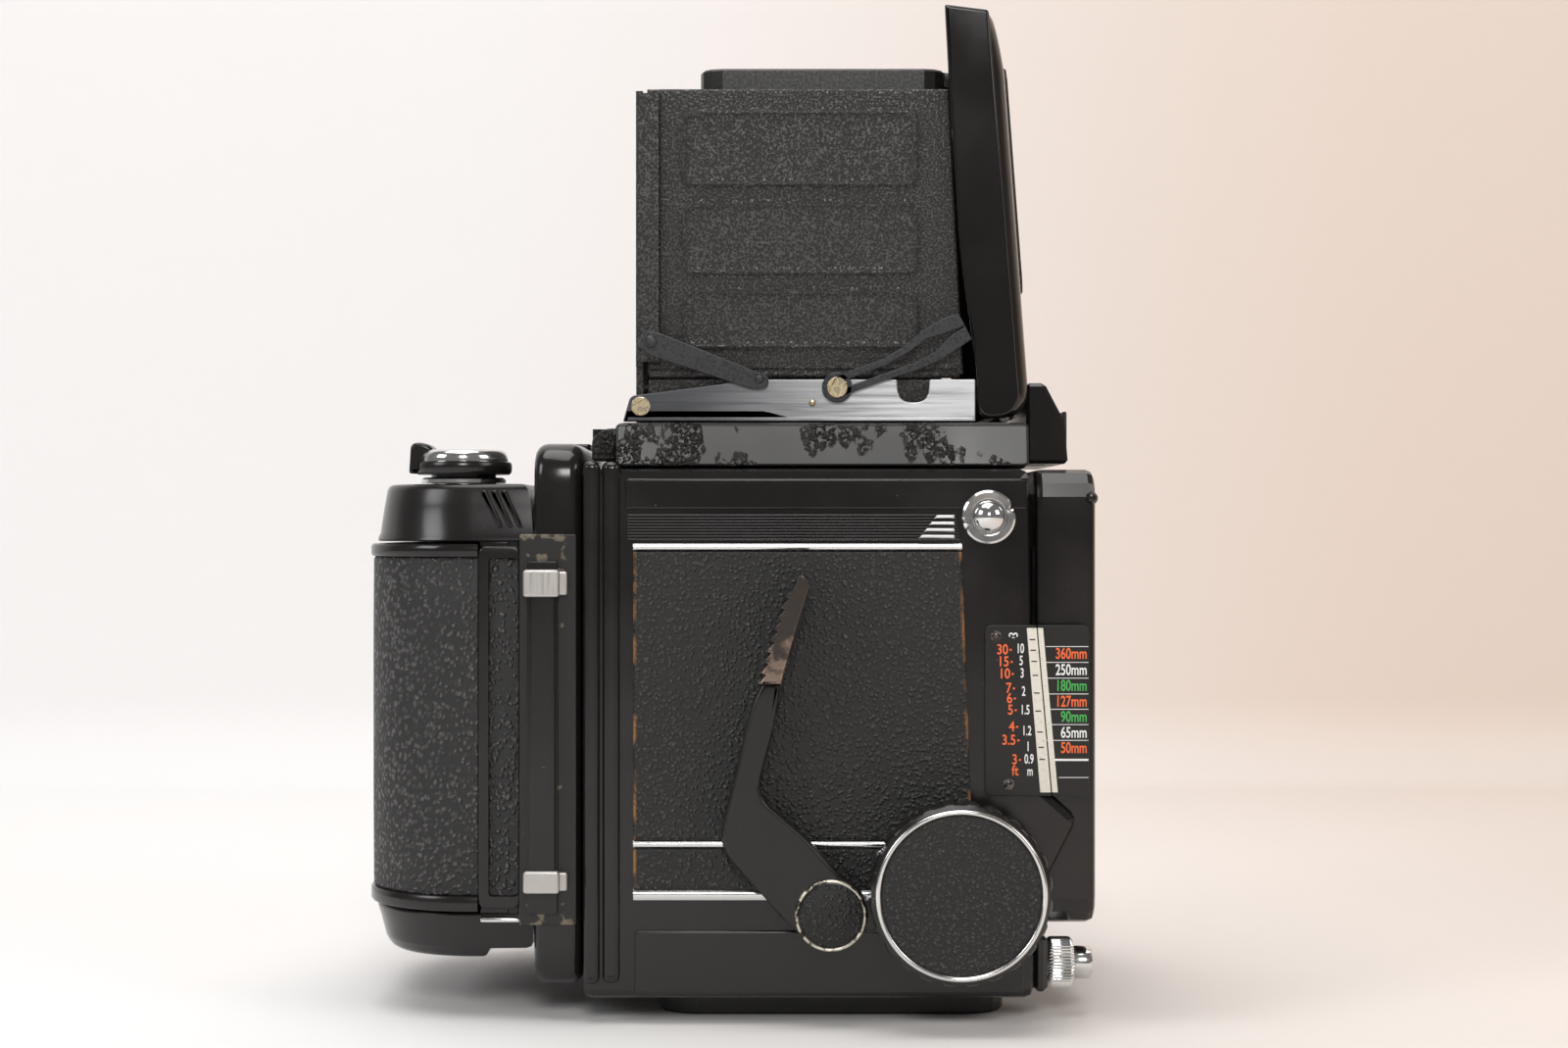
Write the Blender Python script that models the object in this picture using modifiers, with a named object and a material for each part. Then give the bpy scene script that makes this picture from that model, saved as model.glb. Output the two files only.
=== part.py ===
"""Medium format single lens reflex camera with bellows focusing, a revolving
roll film back and an open folding hood. Sizes are in millimetres and become
metres in the helpers. +X is the camera's front, -Y its right side, +Z up."""

import math

import bmesh
import bpy

MM = 0.001

# Fits
GAP = 0.3               # between neighbours that touch on the real camera
RUN = 0.3               # round a turning pin or shaft
SLIDE = 0.4             # beside a sliding piece

# Body
BODY_REAR = -31.3
BODY_FRONT = 66.2
BODY_HALF = 49.2
BODY_LOW = 5.5
BODY_TOP = 119.9
SIDE_WALL = 2.8
REAR_WALL = 4.3
FLOOR_TOP = 20.4
ROOF_UNDER = 115.0
AXIS_Z = 66.6           # lens axis, and the axis the back turns on
ARM_TIP_X = 75.8        # forward bulge of the side walls below the scale
ARM_LOW_Z = 25.7
ARM_TIP_Z = 44.5
ARM_TOP_Z = 49.0

# Side trim
PANEL_REAR = -20.3
PANEL_FRONT = 51.6
PANEL_LOW = 39.9
PANEL_TOP = 102.0
PANEL_THICK = 0.9
TRIM_OUT = BODY_HALF + 1.0
STRIP_LOW = 104.3
STRIP_TOP = 110.3

# Base
BASE_REAR = -15.7
BASE_FRONT = 61.0
BASE_HALF = 38.0
TRIPOD_X = 22.0
TRIPOD_R = 7.0
TRIPOD_BORE_R = 3.0

# Light path
BOX_HALF = 36.5
BOX_WALL = 2.2
BOX_FRONT = 54.0
BOX_FLOOR = 27.0
BOX_ROOF = 112.0
SCREEN_REAR = -18.0
SCREEN_FRONT = 48.0
SCREEN_HALF = 34.0
REAR_HOLE_R = 45.6
BELLOWS_HALF = 36.0
BELLOWS_WALL = 3.0

# Front standard, its racks and the focus shaft
STD_REAR = 66.8
STD_FRONT = 79.9
STD_HALF = BODY_HALF - SIDE_WALL - SLIDE
STD_LOW = 20.8
THROAT_R = 30.5
RING_R = 40.0
RING_DEPTH = 3.2
RING_FRONT = 80.6
SHAFT_X = 49.4
SHAFT_Z = 30.1
SHAFT_R = 3.0
PITCH_R = 7.0
TEETH = 14
TOOTH_UP = 0.75
TOOTH_DOWN = 1.15
RACK_REAR = 0.5
RACK_IN = BOX_HALF + 3.0
RACK_OUT = RACK_IN + 4.5
KNOB_R = 19.4
KNOB_IN = BODY_HALF + 7.8
KNOB_OUT = KNOB_IN + 8.0
NECK_R = 14.0
NECK_IN = TRIM_OUT + 0.5
BOSS_R = 8.0
SCALLOPS = 24
SCALE_LOW = 49.4
SCALE_TOP = 86.2
SCALE_REAR = 55.5
SCALE_FRONT = 77.9
SCALE_CUT_TOP = 66.2
SCALE_CUT_LOW = 69.4
SCALE_OUT = BODY_HALF + 0.9

# Cocking lever
HUB_X = 22.2
HUB_Z = 24.6
HUB_R = 8.0
LEVER_PIN_R = 3.0
ARM_IN = TRIM_OUT + 1.3
ARM_OUT = ARM_IN + 4.5
THUMB_OUT = ARM_OUT + 6.0

# Shutter release
RELEASE_Y = -38.0
RELEASE_Z = 11.6
BUTTON_R = 3.6
BUTTON_TIP = 79.8
BUTTON_TAIL = 62.0
PRESS = 3.0
COLLAR_R = 5.65
COLLAR_REAR = 69.9
COLLAR_FRONT = COLLAR_REAR + 5.7

# Mirror
MIRROR_X = -23.5
MIRROR_Z = 104.0
MIRROR_LENGTH = 69.0
MIRROR_HALF = 32.5
MIRROR_THICK = 2.2

# Revolving adapter and film holder
ADAPTER_REAR = -42.0
ADAPTER_HALF = 48.6
ADAPTER_HALF_Z = 59.0
ADAPTER_ROUND = 8.0
LIGHT_HALF_Y = 34.0
LIGHT_HALF_Z = 27.0
HOLDER_HALF = 46.0
HOLDER_SIDE = HOLDER_HALF - 1.6     # flank of the gate plate, inside the caps
HOLDER_PLATE_REAR = -54.0
HOLDER_TOP = 116.8
HOLDER_LOW = 13.2
CAP_UNDER = 104.1
CAP_OVER = 23.3
BACK_REAR = -80.6
BACK_ROUND = 25.0
DOOR_WALL = 2.5
HINGE_X = -53.9
HINGE_Y = HOLDER_HALF + 2.0
HINGE_PIN_R = 0.8
BARREL_LOW = 50.0       # ends of the door's hinge barrel
BARREL_TOP = 83.0
OVER_BACK = 140.0       # above everything on the film back, for its cutters
HINGE_R = 1.7
SPOOL_X = -65.4
SPOOL_Y = 28.0
SPOOL_R = 10.0
SLIDE_X = -47.2
SLIDE_HALF_Z = 31.0
DIAL_X = -59.3
DIAL_Y = -30.0
DIAL_R = 10.7
LOCK_LOW = 21.5
LOCK_TOP = 105.8

# Finder and hood
FRAME_REAR = -24.8
FRAME_FRONT = 65.8
FRAME_HALF = 44.0
FRAME_LOW = 120.2
FRAME_TOP = 130.1
CHIMNEY_REAR = -18.2
CHIMNEY_FRONT = 52.0
PLATE_TOP = 139.6
WALL_Y = 38.35          # hinge line of a hood side wall
CHIMNEY_HALF = WALL_Y - 2.35
PLATE_IN = WALL_Y + 1.45
PLATE_OUT = PLATE_IN + 2.4
WALL_THICK = 1.5
WALL_TOP = 203.8
WALL_HINGE_R = 0.95
RIGHT_HINGE_Z = 141.0
LEFT_HINGE_Z = 143.4    # higher, so the left wall folds on top of the right
REAR_WALL_X = -20.3
LID_HINGE_X = 61.0
LID_HINGE_Z = 131.7
LID_FLANGE_IN = WALL_Y + 1.15
LID_FLANGE_OUT = LID_FLANGE_IN + 1.8
LID_TOP = 221.9
STAY_X = 23.8
STAY_Z = 137.8
STAY_EYE_R = 2.5         # lets the lid lean a few degrees
MAG_HINGE_X = 50.6
MAG_HINGE_Z = 207.1
MAG_REAR = -6.5
MAG_FRONT = 48.5
MAG_HALF = 30.0
MAG_THICK = 5.2
LENS_R = 20.0
LENS_X = 19.0


# ---------------------------------------------------------------- helpers
def collection(name):
    """A collection linked to the scene."""
    group = bpy.data.collections.new(name)
    bpy.context.scene.collection.children.link(group)
    return group


def material(name, colour, roughness, metallic):
    """A plain Principled material."""
    mat = bpy.data.materials.new(name)
    mat.use_nodes = True
    shader = mat.node_tree.nodes["Principled BSDF"]
    shader.inputs["Base Color"].default_value = (*colour, 1.0)
    shader.inputs["Roughness"].default_value = roughness
    shader.inputs["Metallic"].default_value = metallic
    mat.diffuse_color = (*colour, 1.0)
    return mat


def joint_empty(name, at, parent=None):
    """An empty on a joint's axis; the moving pieces hang from it."""
    empty = bpy.data.objects.new(name, None)
    empty.empty_display_size = 0.01
    PARTS.objects.link(empty)
    place(empty, at, parent)
    return empty


def place(obj, at, parent):
    """Put an unturned object at a spot in millimetres, under a parent."""
    base = parent["at"] if parent else (0.0, 0.0, 0.0)
    obj["at"] = at
    obj.parent = parent
    obj.location = [(a - b) * MM for a, b in zip(at, base)]


def new_object(name, bm, group):
    """An object in a collection, made from a bmesh in millimetres."""
    bmesh.ops.scale(bm, vec=(MM, MM, MM), verts=bm.verts)
    mesh = bpy.data.meshes.new(name)
    bm.to_mesh(mesh)
    bm.free()
    obj = bpy.data.objects.new(name, mesh)
    group.objects.link(obj)
    return obj


def finish(obj, at, parent, mat, bevel=0.0, segments=1, smooth=False):
    """Give a shape its place, material, edge bevel and shading."""
    place(obj, at, parent)
    if mat:
        obj.data.materials.append(mat)
    if bevel:
        add_bevel(obj, bevel, segments)
    for face in obj.data.polygons:
        face.use_smooth = smooth
    return obj


def add_bevel(obj, width, segments=1, angle=40.0):
    """Round the edges sharper than an angle."""
    mod = obj.modifiers.new("edges", "BEVEL")
    mod.width = width * MM
    mod.segments = segments
    mod.limit_method = "ANGLE"
    mod.angle_limit = math.radians(angle)
    return mod


def slab(name, xs, ys, zs, parent, mat, bevel=0.0, segments=1):
    """A box between pairs of X, Y and Z."""
    bm = bmesh.new()
    bmesh.ops.create_cube(bm, size=1.0)
    sizes = (xs[1] - xs[0], ys[1] - ys[0], zs[1] - zs[0])
    bmesh.ops.scale(bm, vec=sizes, verts=bm.verts)
    obj = new_object(name, bm, group_for(mat))
    middle = tuple((a + b) / 2 for a, b in (xs, ys, zs))
    return finish(obj, middle, parent, mat, bevel, segments)


def group_for(mat):
    """Pieces with a material are parts; the rest only shape other pieces."""
    return PARTS if mat else CUTTERS


def plate(name, points, across, span, parent, mat, bevel=0.0, segments=1):
    """A flat outline thickened along the axis 'across' between two values."""
    bm = bmesh.new()
    spread = {"X": lambda a, b: (0.0, a, b),
              "Y": lambda a, b: (a, 0.0, b),
              "Z": lambda a, b: (a, b, 0.0)}[across]
    mid_a = (min(p[0] for p in points) + max(p[0] for p in points)) / 2
    mid_b = (min(p[1] for p in points) + max(p[1] for p in points)) / 2
    verts = [bm.verts.new(spread(a - mid_a, b - mid_b)) for a, b in points]
    bm.faces.new(verts)
    obj = new_object(name, bm, group_for(mat))
    thick = obj.modifiers.new("thickness", "SOLIDIFY")
    thick.thickness = (span[1] - span[0]) * MM
    thick.offset = 0.0
    middle = list(spread(mid_a, mid_b))
    middle["XYZ".index(across)] = (span[0] + span[1]) / 2
    return finish(obj, tuple(middle), parent, mat, bevel, segments)


def rod(name, radius, axis, centre, span, parent, mat, sides=32, bevel=0.0):
    """A round bar along an axis between two values of that axis."""
    bm = bmesh.new()
    bmesh.ops.create_cone(bm, cap_ends=True, segments=sides, radius1=radius,
                          radius2=radius, depth=span[1] - span[0])
    obj = new_object(name, bm, group_for(mat))
    at = list(centre)
    at["XYZ".index(axis)] = (span[0] + span[1]) / 2
    finish(obj, tuple(at), parent, mat, bevel, 1, smooth=True)
    turn_to(obj, axis)
    obj.data.set_sharp_from_angle(angle=math.radians(40.0))
    return obj


def turn_to(obj, axis):
    """Turn an object's own Z onto an axis; '-Y' points out to the right."""
    turns = {"X": (0.0, math.pi / 2, 0.0), "Y": (-math.pi / 2, 0.0, 0.0),
             "-Y": (math.pi / 2, 0.0, 0.0), "Z": (0.0, 0.0, 0.0)}
    obj.rotation_euler = turns[axis]


def turned(name, profile, axis, at, parent, mat, steps=40):
    """A profile of (radius, height) spun round an axis; it runs down outside."""
    bm = bmesh.new()
    verts = [bm.verts.new((r, 0.0, h)) for r, h in profile]
    for a, b in zip(verts, verts[1:]):
        bm.edges.new((a, b))
    if profile[0][0] > 0.0:
        bm.edges.new((verts[-1], verts[0]))
    obj = new_object(name, bm, group_for(mat))
    spin = obj.modifiers.new("spin", "SCREW")
    spin.steps = steps
    spin.render_steps = steps
    spin.use_merge_vertices = True
    spin.merge_threshold = 0.00001
    spin.use_smooth_shade = True
    finish(obj, at, parent, mat)
    turn_to(obj, axis)
    return obj


def boolean(obj, tool, operation="DIFFERENCE"):
    """Cut, join or trim an object with a hidden shape."""
    mod = obj.modifiers.new(operation.lower(), "BOOLEAN")
    mod.operation = operation
    mod.solver = "EXACT"
    mod.object = tool
    tool.hide_render = True
    tool.display_type = "WIRE"


def arc(ca, cb, radius, start, end, steps):
    """Points along an arc, angles in degrees."""
    turn = [math.radians(start + (end - start) * i / steps)
            for i in range(steps + 1)]
    return [(ca + radius * math.cos(t), cb + radius * math.sin(t))
            for t in turn]


def rounded(a0, a1, b0, b1, radius, steps=4):
    """The outline of a rectangle with round corners."""
    return (arc(a1 - radius, b0 + radius, radius, -90, 0, steps)
            + arc(a1 - radius, b1 - radius, radius, 0, 90, steps)
            + arc(a0 + radius, b1 - radius, radius, 90, 180, steps)
            + arc(a0 + radius, b0 + radius, radius, 180, 270, steps))


# ---------------------------------------------------------------- the body
def build_body(root):
    """Hollow body casting: open front, round rear bearing, screen opening."""
    outline = [(BODY_REAR, BODY_LOW), (BODY_FRONT, BODY_LOW),
               (BODY_FRONT, ARM_LOW_Z), (ARM_TIP_X, ARM_TIP_Z),
               (BODY_FRONT, ARM_TOP_Z + 4.0), (BODY_FRONT - 1.0, BODY_TOP),
               (BODY_REAR, BODY_TOP)]
    shell = plate("body_shell", outline, "Y", (-BODY_HALF, BODY_HALF), root,
                  LACQUER)
    add_bevel(shell, 2.0, 2, 50.0)
    foot = slab("join_rear_foot", (-26.0, -20.5), (-30.0, 30.0),
                (2.4, BODY_LOW + 3.0), root, None)
    boolean(shell, foot, "UNION")
    inner = BODY_HALF - SIDE_WALL
    cavity = slab("cut_cavity", (BODY_REAR + REAR_WALL, ARM_TIP_X + 10.0),
                  (-inner, inner), (FLOOR_TOP, ROOF_UNDER), root, None)
    boolean(shell, cavity)
    # The roof stops at the side walls' front, so the standard stays clear.
    roof = slab("cut_roof_front", (STD_REAR - 2.0, ARM_TIP_X + 10.0),
                (-inner, inner), (FLOOR_TOP, BODY_TOP + 5.0), root, None)
    boolean(shell, roof)
    rear = rod("cut_rear_bearing", REAR_HOLE_R + RUN, "X",
               (0, 0, AXIS_Z), (BODY_REAR - 5.0, BODY_REAR + REAR_WALL + 2.0),
               root, None, 48)
    boolean(shell, rear)
    screen = slab("cut_screen", (SCREEN_REAR - GAP, SCREEN_FRONT + GAP),
                  (-SCREEN_HALF - GAP, SCREEN_HALF + GAP),
                  (ROOF_UNDER - 3.0, BODY_TOP + 5.0), root, None)
    boolean(shell, screen)
    shaft = rod("cut_shaft", SHAFT_R + RUN, "Y", (SHAFT_X, 0, SHAFT_Z),
                (-BODY_HALF - 5.0, BODY_HALF + 5.0), root, None, 24)
    boolean(shell, shaft)
    pivot = rod("cut_lever_pivot", LEVER_PIN_R + RUN, "Y", (HUB_X, 0, HUB_Z),
                (-BODY_HALF - 5.0, -BODY_HALF + 8.0), root, None, 24)
    boolean(shell, pivot)
    press = rod("cut_button", BUTTON_R + RUN, "X",
                (0, RELEASE_Y, RELEASE_Z),
                (BUTTON_TAIL - PRESS - 1.0, BODY_FRONT + 5.0), root, None, 24)
    boolean(shell, press)


def build_body_trim(root):
    """Leather and strap lugs on both sides; trims on the right side."""
    for side, sign in (("right", -1), ("left", 1)):
        near = BODY_HALF + GAP / 3
        span = tuple(sorted((sign * near, sign * (near + PANEL_THICK))))
        leather = [(PANEL_REAR, PANEL_LOW), (PANEL_FRONT + 1.2, PANEL_LOW),
                   (PANEL_FRONT - 1.1, PANEL_TOP), (PANEL_REAR, PANEL_TOP)]
        plate(side + "_leather", leather, "Y", span, root, LEATHER)
        build_strap_lug(side, sign, root)
    proud = (-TRIM_OUT, -BODY_HALF - GAP / 3)
    trims = (("upper", 102.3, 103.9, PANEL_FRONT - 1.1),
             ("lower", 26.9, 29.0, SHAFT_X - BOSS_R - GAP))
    for tag, low, top, front in trims:
        trim = slab("right_trim_" + tag, (PANEL_REAR, front), proud,
                    (low, top), root, CHROME)
        if tag == "lower":
            boolean(trim, rod("cut_trim_pivot", LEVER_PIN_R + 2 * RUN, "Y",
                              (HUB_X, 0, HUB_Z),
                              (-BODY_HALF - 5.0, -BODY_HALF + 5.0), root,
                              None, 24))
    slab("right_ribbed_strip", (PANEL_REAR, PANEL_FRONT - 1.8), proud,
         (STRIP_LOW, STRIP_TOP), root, BLACK_METAL, 0.3)


def build_strap_lug(side, sign, root):
    """Round chrome strap stud with a waist that the strap clip holds."""
    foot = BODY_HALF + GAP / 3
    profile = [(0.0, foot + 4.2), (2.4, foot + 3.9), (3.5, foot + 3.0),
               (3.5, foot + 2.4), (5.75, foot + 1.8), (5.75, foot), (0.0, foot)]
    turned(side + "_strap_lug", profile, "-Y" if sign < 0 else "Y",
           (56.3, 0.0, 109.5), root, CHROME, 28)


def build_base(root):
    """Foot plate with the tripod bush."""
    outline = rounded(BASE_REAR, BASE_FRONT, -BASE_HALF, BASE_HALF, 9.0)
    base = plate("base_plate", outline, "Z", (0.0, BODY_LOW - GAP), root,
                 BLACK_METAL, 0.6)
    hole = rod("cut_bush", TRIPOD_R + GAP, "Z", (TRIPOD_X, 0, 0),
               (-5.0, 10.0), root, None, 32)
    boolean(base, hole)
    profile = [(TRIPOD_R, BODY_LOW - GAP), (TRIPOD_R, 0.2),
               (TRIPOD_BORE_R, 0.2), (TRIPOD_BORE_R, BODY_LOW - GAP)]
    turned("tripod_bush", profile, "Z", (TRIPOD_X, 0.0, 0.0), root, STEEL, 32)


def build_light_path(root):
    """Mirror box, focusing screen and the plain bellows sleeve."""
    rear = BODY_REAR + REAR_WALL + SLIDE
    box = slab("mirror_box", (rear, BOX_FRONT), (-BOX_HALF, BOX_HALF),
               (FLOOR_TOP + GAP, ROOF_UNDER - GAP), root, MATT_BLACK)
    half = BOX_HALF - BOX_WALL
    boolean(box, slab("cut_box", (rear - 5.0, BOX_FRONT + 5.0),
                      (-half, half), (BOX_FLOOR, BOX_ROOF), root, None))
    boolean(box, slab("cut_box_top", (SCREEN_REAR, SCREEN_FRONT - 3.0),
                      (-SCREEN_HALF + 1.5, SCREEN_HALF - 1.5),
                      (BOX_ROOF - 2.0, ROOF_UNDER + 5.0), root, None))
    boolean(box, rod("cut_box_shaft", SHAFT_R + RUN, "Y",
                     (SHAFT_X, 0, SHAFT_Z), (-50.0, 50.0), root, None, 24))
    slab("focusing_screen", (SCREEN_REAR, SCREEN_FRONT),
         (-SCREEN_HALF, SCREEN_HALF), (ROOF_UNDER, ROOF_UNDER + 3.0), root,
         SCREEN_GLASS)
    span = (BOX_FRONT + GAP, STD_REAR - GAP)
    low, top = AXIS_Z - BELLOWS_HALF, AXIS_Z + BELLOWS_HALF
    sleeve = slab("bellows", span, (-BELLOWS_HALF, BELLOWS_HALF), (low, top),
                  root, BELLOWS_CLOTH)
    inner = BELLOWS_HALF - BELLOWS_WALL
    boolean(sleeve, slab("cut_bellows", (span[0] - 5.0, span[1] + 5.0),
                         (-inner, inner),
                         (AXIS_Z - inner, AXIS_Z + inner), root, None))


def build_fixed_scale(root):
    """Enamelled distance plate on the body's right arm."""
    points = [(SCALE_REAR, SCALE_LOW), (SCALE_CUT_LOW, SCALE_LOW),
              (SCALE_CUT_TOP, SCALE_TOP), (SCALE_REAR, SCALE_TOP)]
    plate("distance_scale", points, "Y", (-SCALE_OUT, -BODY_HALF - 0.1), root,
          ENAMEL)


# ------------------------------------------------- front standard and focus
def rack_points():
    """Side outline of a toothed rack whose gaps meet the pinion's teeth."""
    pitch = 2 * math.pi * PITCH_R / TEETH
    line = SHAFT_Z + PITCH_R
    low, root_z, top = line - TOOTH_UP, line + TOOTH_DOWN, line + 5.0
    points = [(STD_REAR + 2.0, top), (RACK_REAR, top), (RACK_REAR, root_z)]
    first = math.ceil((RACK_REAR + pitch - SHAFT_X) / pitch - 0.5)
    for i in range(first, 3):
        mid = SHAFT_X + (i + 0.5) * pitch
        points += [(mid - 0.27 * pitch, root_z), (mid - 0.12 * pitch, low),
                   (mid + 0.12 * pitch, low), (mid + 0.27 * pitch, root_z)]
    return points + [(STD_REAR + 2.0, root_z)]


def pinion_points():
    """Outline of the pinion, one tooth pointing straight up."""
    points = []
    for i in range(TEETH):
        mid = 90.0 - 360.0 * i / TEETH
        for turn, radius in ((7.0, PITCH_R - TOOTH_DOWN),
                             (2.6, PITCH_R + TOOTH_UP),
                             (-2.6, PITCH_R + TOOTH_UP),
                             (-7.0, PITCH_R - TOOTH_DOWN)):
            angle = math.radians(mid + turn)
            points.append((SHAFT_X + radius * math.cos(angle),
                           SHAFT_Z + radius * math.sin(angle)))
    return points


def build_front_standard(moving):
    """Lens board casting that slides forward on two racks."""
    outline = rounded(-STD_HALF, STD_HALF, STD_LOW, BODY_TOP, 6.0, 3)
    board = plate("front_standard", outline, "X", (STD_REAR, STD_FRONT),
                  moving, LACQUER)
    add_bevel(board, 1.6, 2, 50.0)
    boolean(board, rod("cut_throat", THROAT_R, "X", (0, 0, AXIS_Z),
                       (STD_REAR - 5.0, STD_FRONT + 5.0), moving, None, 48))
    boolean(board, rod("cut_ring_seat", RING_R + GAP, "X", (0, 0, AXIS_Z),
                       (RING_FRONT - RING_DEPTH - GAP, STD_FRONT + 5.0),
                       moving, None, 48))
    for side, sign in (("right", -1), ("left", 1)):
        span = tuple(sorted((sign * RACK_IN, sign * RACK_OUT)))
        rack = plate("join_rack_" + side, rack_points(), "Y", span, moving,
                     None)
        boolean(board, rack, "UNION")


def build_lens_mount(moving):
    """Bright bayonet ring round the open lens throat."""
    rear = RING_FRONT - RING_DEPTH
    profile = [(RING_R - 0.8, RING_FRONT), (RING_R, RING_FRONT - 0.8),
               (RING_R, rear), (THROAT_R + 0.6, rear),
               (THROAT_R + 0.6, RING_FRONT)]
    turned("lens_mount_ring", profile, "X", (0.0, 0.0, AXIS_Z), moving,
           CHROME, 48)


def build_moving_scale(moving):
    """Lens plate that rides forward past the fixed distance plate."""
    shift = 2 * GAP
    points = [(SCALE_CUT_LOW + shift, SCALE_LOW), (SCALE_FRONT, SCALE_LOW),
              (SCALE_FRONT, SCALE_TOP), (SCALE_CUT_TOP + shift, SCALE_TOP)]
    scale = plate("lens_scale", points, "Y",
                  (-SCALE_OUT, -BODY_HALF - 0.1), moving, ENAMEL)
    block = slab("join_scale_block", (72.0, SCALE_FRONT - 0.5),
                 (-SCALE_OUT + 0.3, -STD_HALF - 0.1),
                 (SCALE_LOW + 6.0, SCALE_TOP - 1.0), moving, None)
    boolean(scale, block, "UNION")


def build_focus_shaft(shaft):
    """Cross shaft with two pinions, a knob and a bright ring on each end."""
    end = KNOB_IN + 3.0
    bar = rod("focus_shaft", SHAFT_R, "Y", (SHAFT_X, 0, SHAFT_Z), (-end, end),
              shaft, STEEL, 24)
    for side, sign in (("right", -1), ("left", 1)):
        wide = tuple(sorted((sign * (RACK_IN - 0.5), sign * RACK_OUT)))
        boolean(bar, plate("join_pinion_" + side, pinion_points(), "Y", wide,
                           shaft, None), "UNION")
        build_knob(side, sign, shaft)


def build_knob(side, sign, shaft):
    """Black focus knob with a scalloped rim, bored for the shaft."""
    axis = "-Y" if sign < 0 else "Y"
    points = []
    for i in range(SCALLOPS * 4):
        angle = 2 * math.pi * i / (SCALLOPS * 4)
        dip = (0.0, 0.45, 0.9, 0.45)[i % 4]
        points.append((SHAFT_X + (KNOB_R - dip) * math.cos(angle),
                       SHAFT_Z + (KNOB_R - dip) * math.sin(angle)))
    span = tuple(sorted((sign * KNOB_IN, sign * KNOB_OUT)))
    knob = plate("focus_knob_" + side, points, "Y", span, shaft, LACQUER)
    neck = turned("join_neck_" + side,
                  [(0.0, KNOB_IN + 1.0), (NECK_R, KNOB_IN + 1.0),
                   (NECK_R, NECK_IN), (BOSS_R, NECK_IN),
                   (BOSS_R, BODY_HALF + GAP), (0.0, BODY_HALF + GAP)],
                  axis, (SHAFT_X, 0.0, SHAFT_Z), shaft, None, 32)
    boolean(knob, neck, "UNION")
    bore = tuple(sorted((sign * 40.0, sign * (KNOB_IN + 3.0 + GAP))))
    boolean(knob, rod("cut_knob_bore_" + side, SHAFT_R + 0.1, "Y",
                      (SHAFT_X, 0, SHAFT_Z), bore, shaft, None, 24))
    ring = [(18.1, KNOB_OUT + 1.0), (18.1, KNOB_OUT + 0.1),
            (16.8, KNOB_OUT + 0.1), (16.8, KNOB_OUT + 1.0)]
    turned("knob_ring_" + side, ring, axis, (SHAFT_X, 0.0, SHAFT_Z), shaft,
           CHROME, 48)


# ----------------------------------------------------------- controls
def build_cocking_lever(lever):
    """Flat bent arm on a round hub, with a serrated thumb piece."""
    arm_points = [(-8.5, -2.5), (1.3, 9.1), (-5.1, 16.2), (-14.4, 24.3),
                  (-15.5, 27.8), (-11.7, 41.2), (-10.6, 49.4),
                  (-14.9, 49.4), (-16.7, 44.7), (-23.1, 20.2),
                  (-23.4, 15.6), (-22.2, 12.7)]
    points = [(HUB_X + a, HUB_Z + b) for a, b in arm_points]
    arm = plate("cocking_lever", points, "Y", (-ARM_OUT, -ARM_IN), lever,
                SATIN)
    hub = turned("join_hub", [(0.0, ARM_OUT), (HUB_R, ARM_OUT),
                              (HUB_R, TRIM_OUT + GAP),
                              (LEVER_PIN_R, TRIM_OUT + GAP),
                              (LEVER_PIN_R, BODY_HALF - SIDE_WALL - 1.0),
                              (0.0, BODY_HALF - SIDE_WALL - 1.0)],
                 "-Y", (HUB_X, 0.0, HUB_Z), lever, None, 32)
    boolean(arm, hub, "UNION")
    add_bevel(arm, 0.5, 1)
    thumb_points = [(-14.7, 49.8), (-10.4, 49.8), (-5.1, 69.7),
                    (-6.4, 72.6), (-8.3, 73.2)]
    thumb = [(HUB_X + a, HUB_Z + b) for a, b in thumb_points]
    plate("cocking_thumb", thumb, "Y", (-THUMB_OUT, -ARM_IN - 0.5), lever,
          WORN_METAL, 0.8)


def build_release(root, collar_joint, button_joint):
    """Release housing, knurled lock collar and the shutter button."""
    housing = slab("release_housing", (BODY_FRONT + GAP, COLLAR_REAR - GAP),
                   (RELEASE_Y - 7.0, RELEASE_Y + 7.0), (6.2, 18.5), root,
                   LACQUER, 1.0)
    centre = (0.0, RELEASE_Y, RELEASE_Z)
    boolean(housing, rod("cut_housing", BUTTON_R + RUN, "X", centre,
                         (BODY_FRONT - 5.0, COLLAR_REAR + 5.0), root, None,
                         24))
    profile = [(COLLAR_R - 0.6, COLLAR_FRONT), (COLLAR_R, COLLAR_FRONT - 0.6),
               (COLLAR_R, COLLAR_REAR), (BUTTON_R + RUN, COLLAR_REAR),
               (BUTTON_R + RUN, COLLAR_FRONT)]
    turned("lock_collar", profile, "X", centre, collar_joint, CHROME, 32)
    profile = [(0.0, BUTTON_TIP), (BUTTON_R - 0.5, BUTTON_TIP),
               (BUTTON_R, BUTTON_TIP - 0.5), (BUTTON_R, BUTTON_TAIL),
               (0.0, BUTTON_TAIL)]
    turned("shutter_button", profile, "X", centre, button_joint, CHROME, 28)


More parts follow.
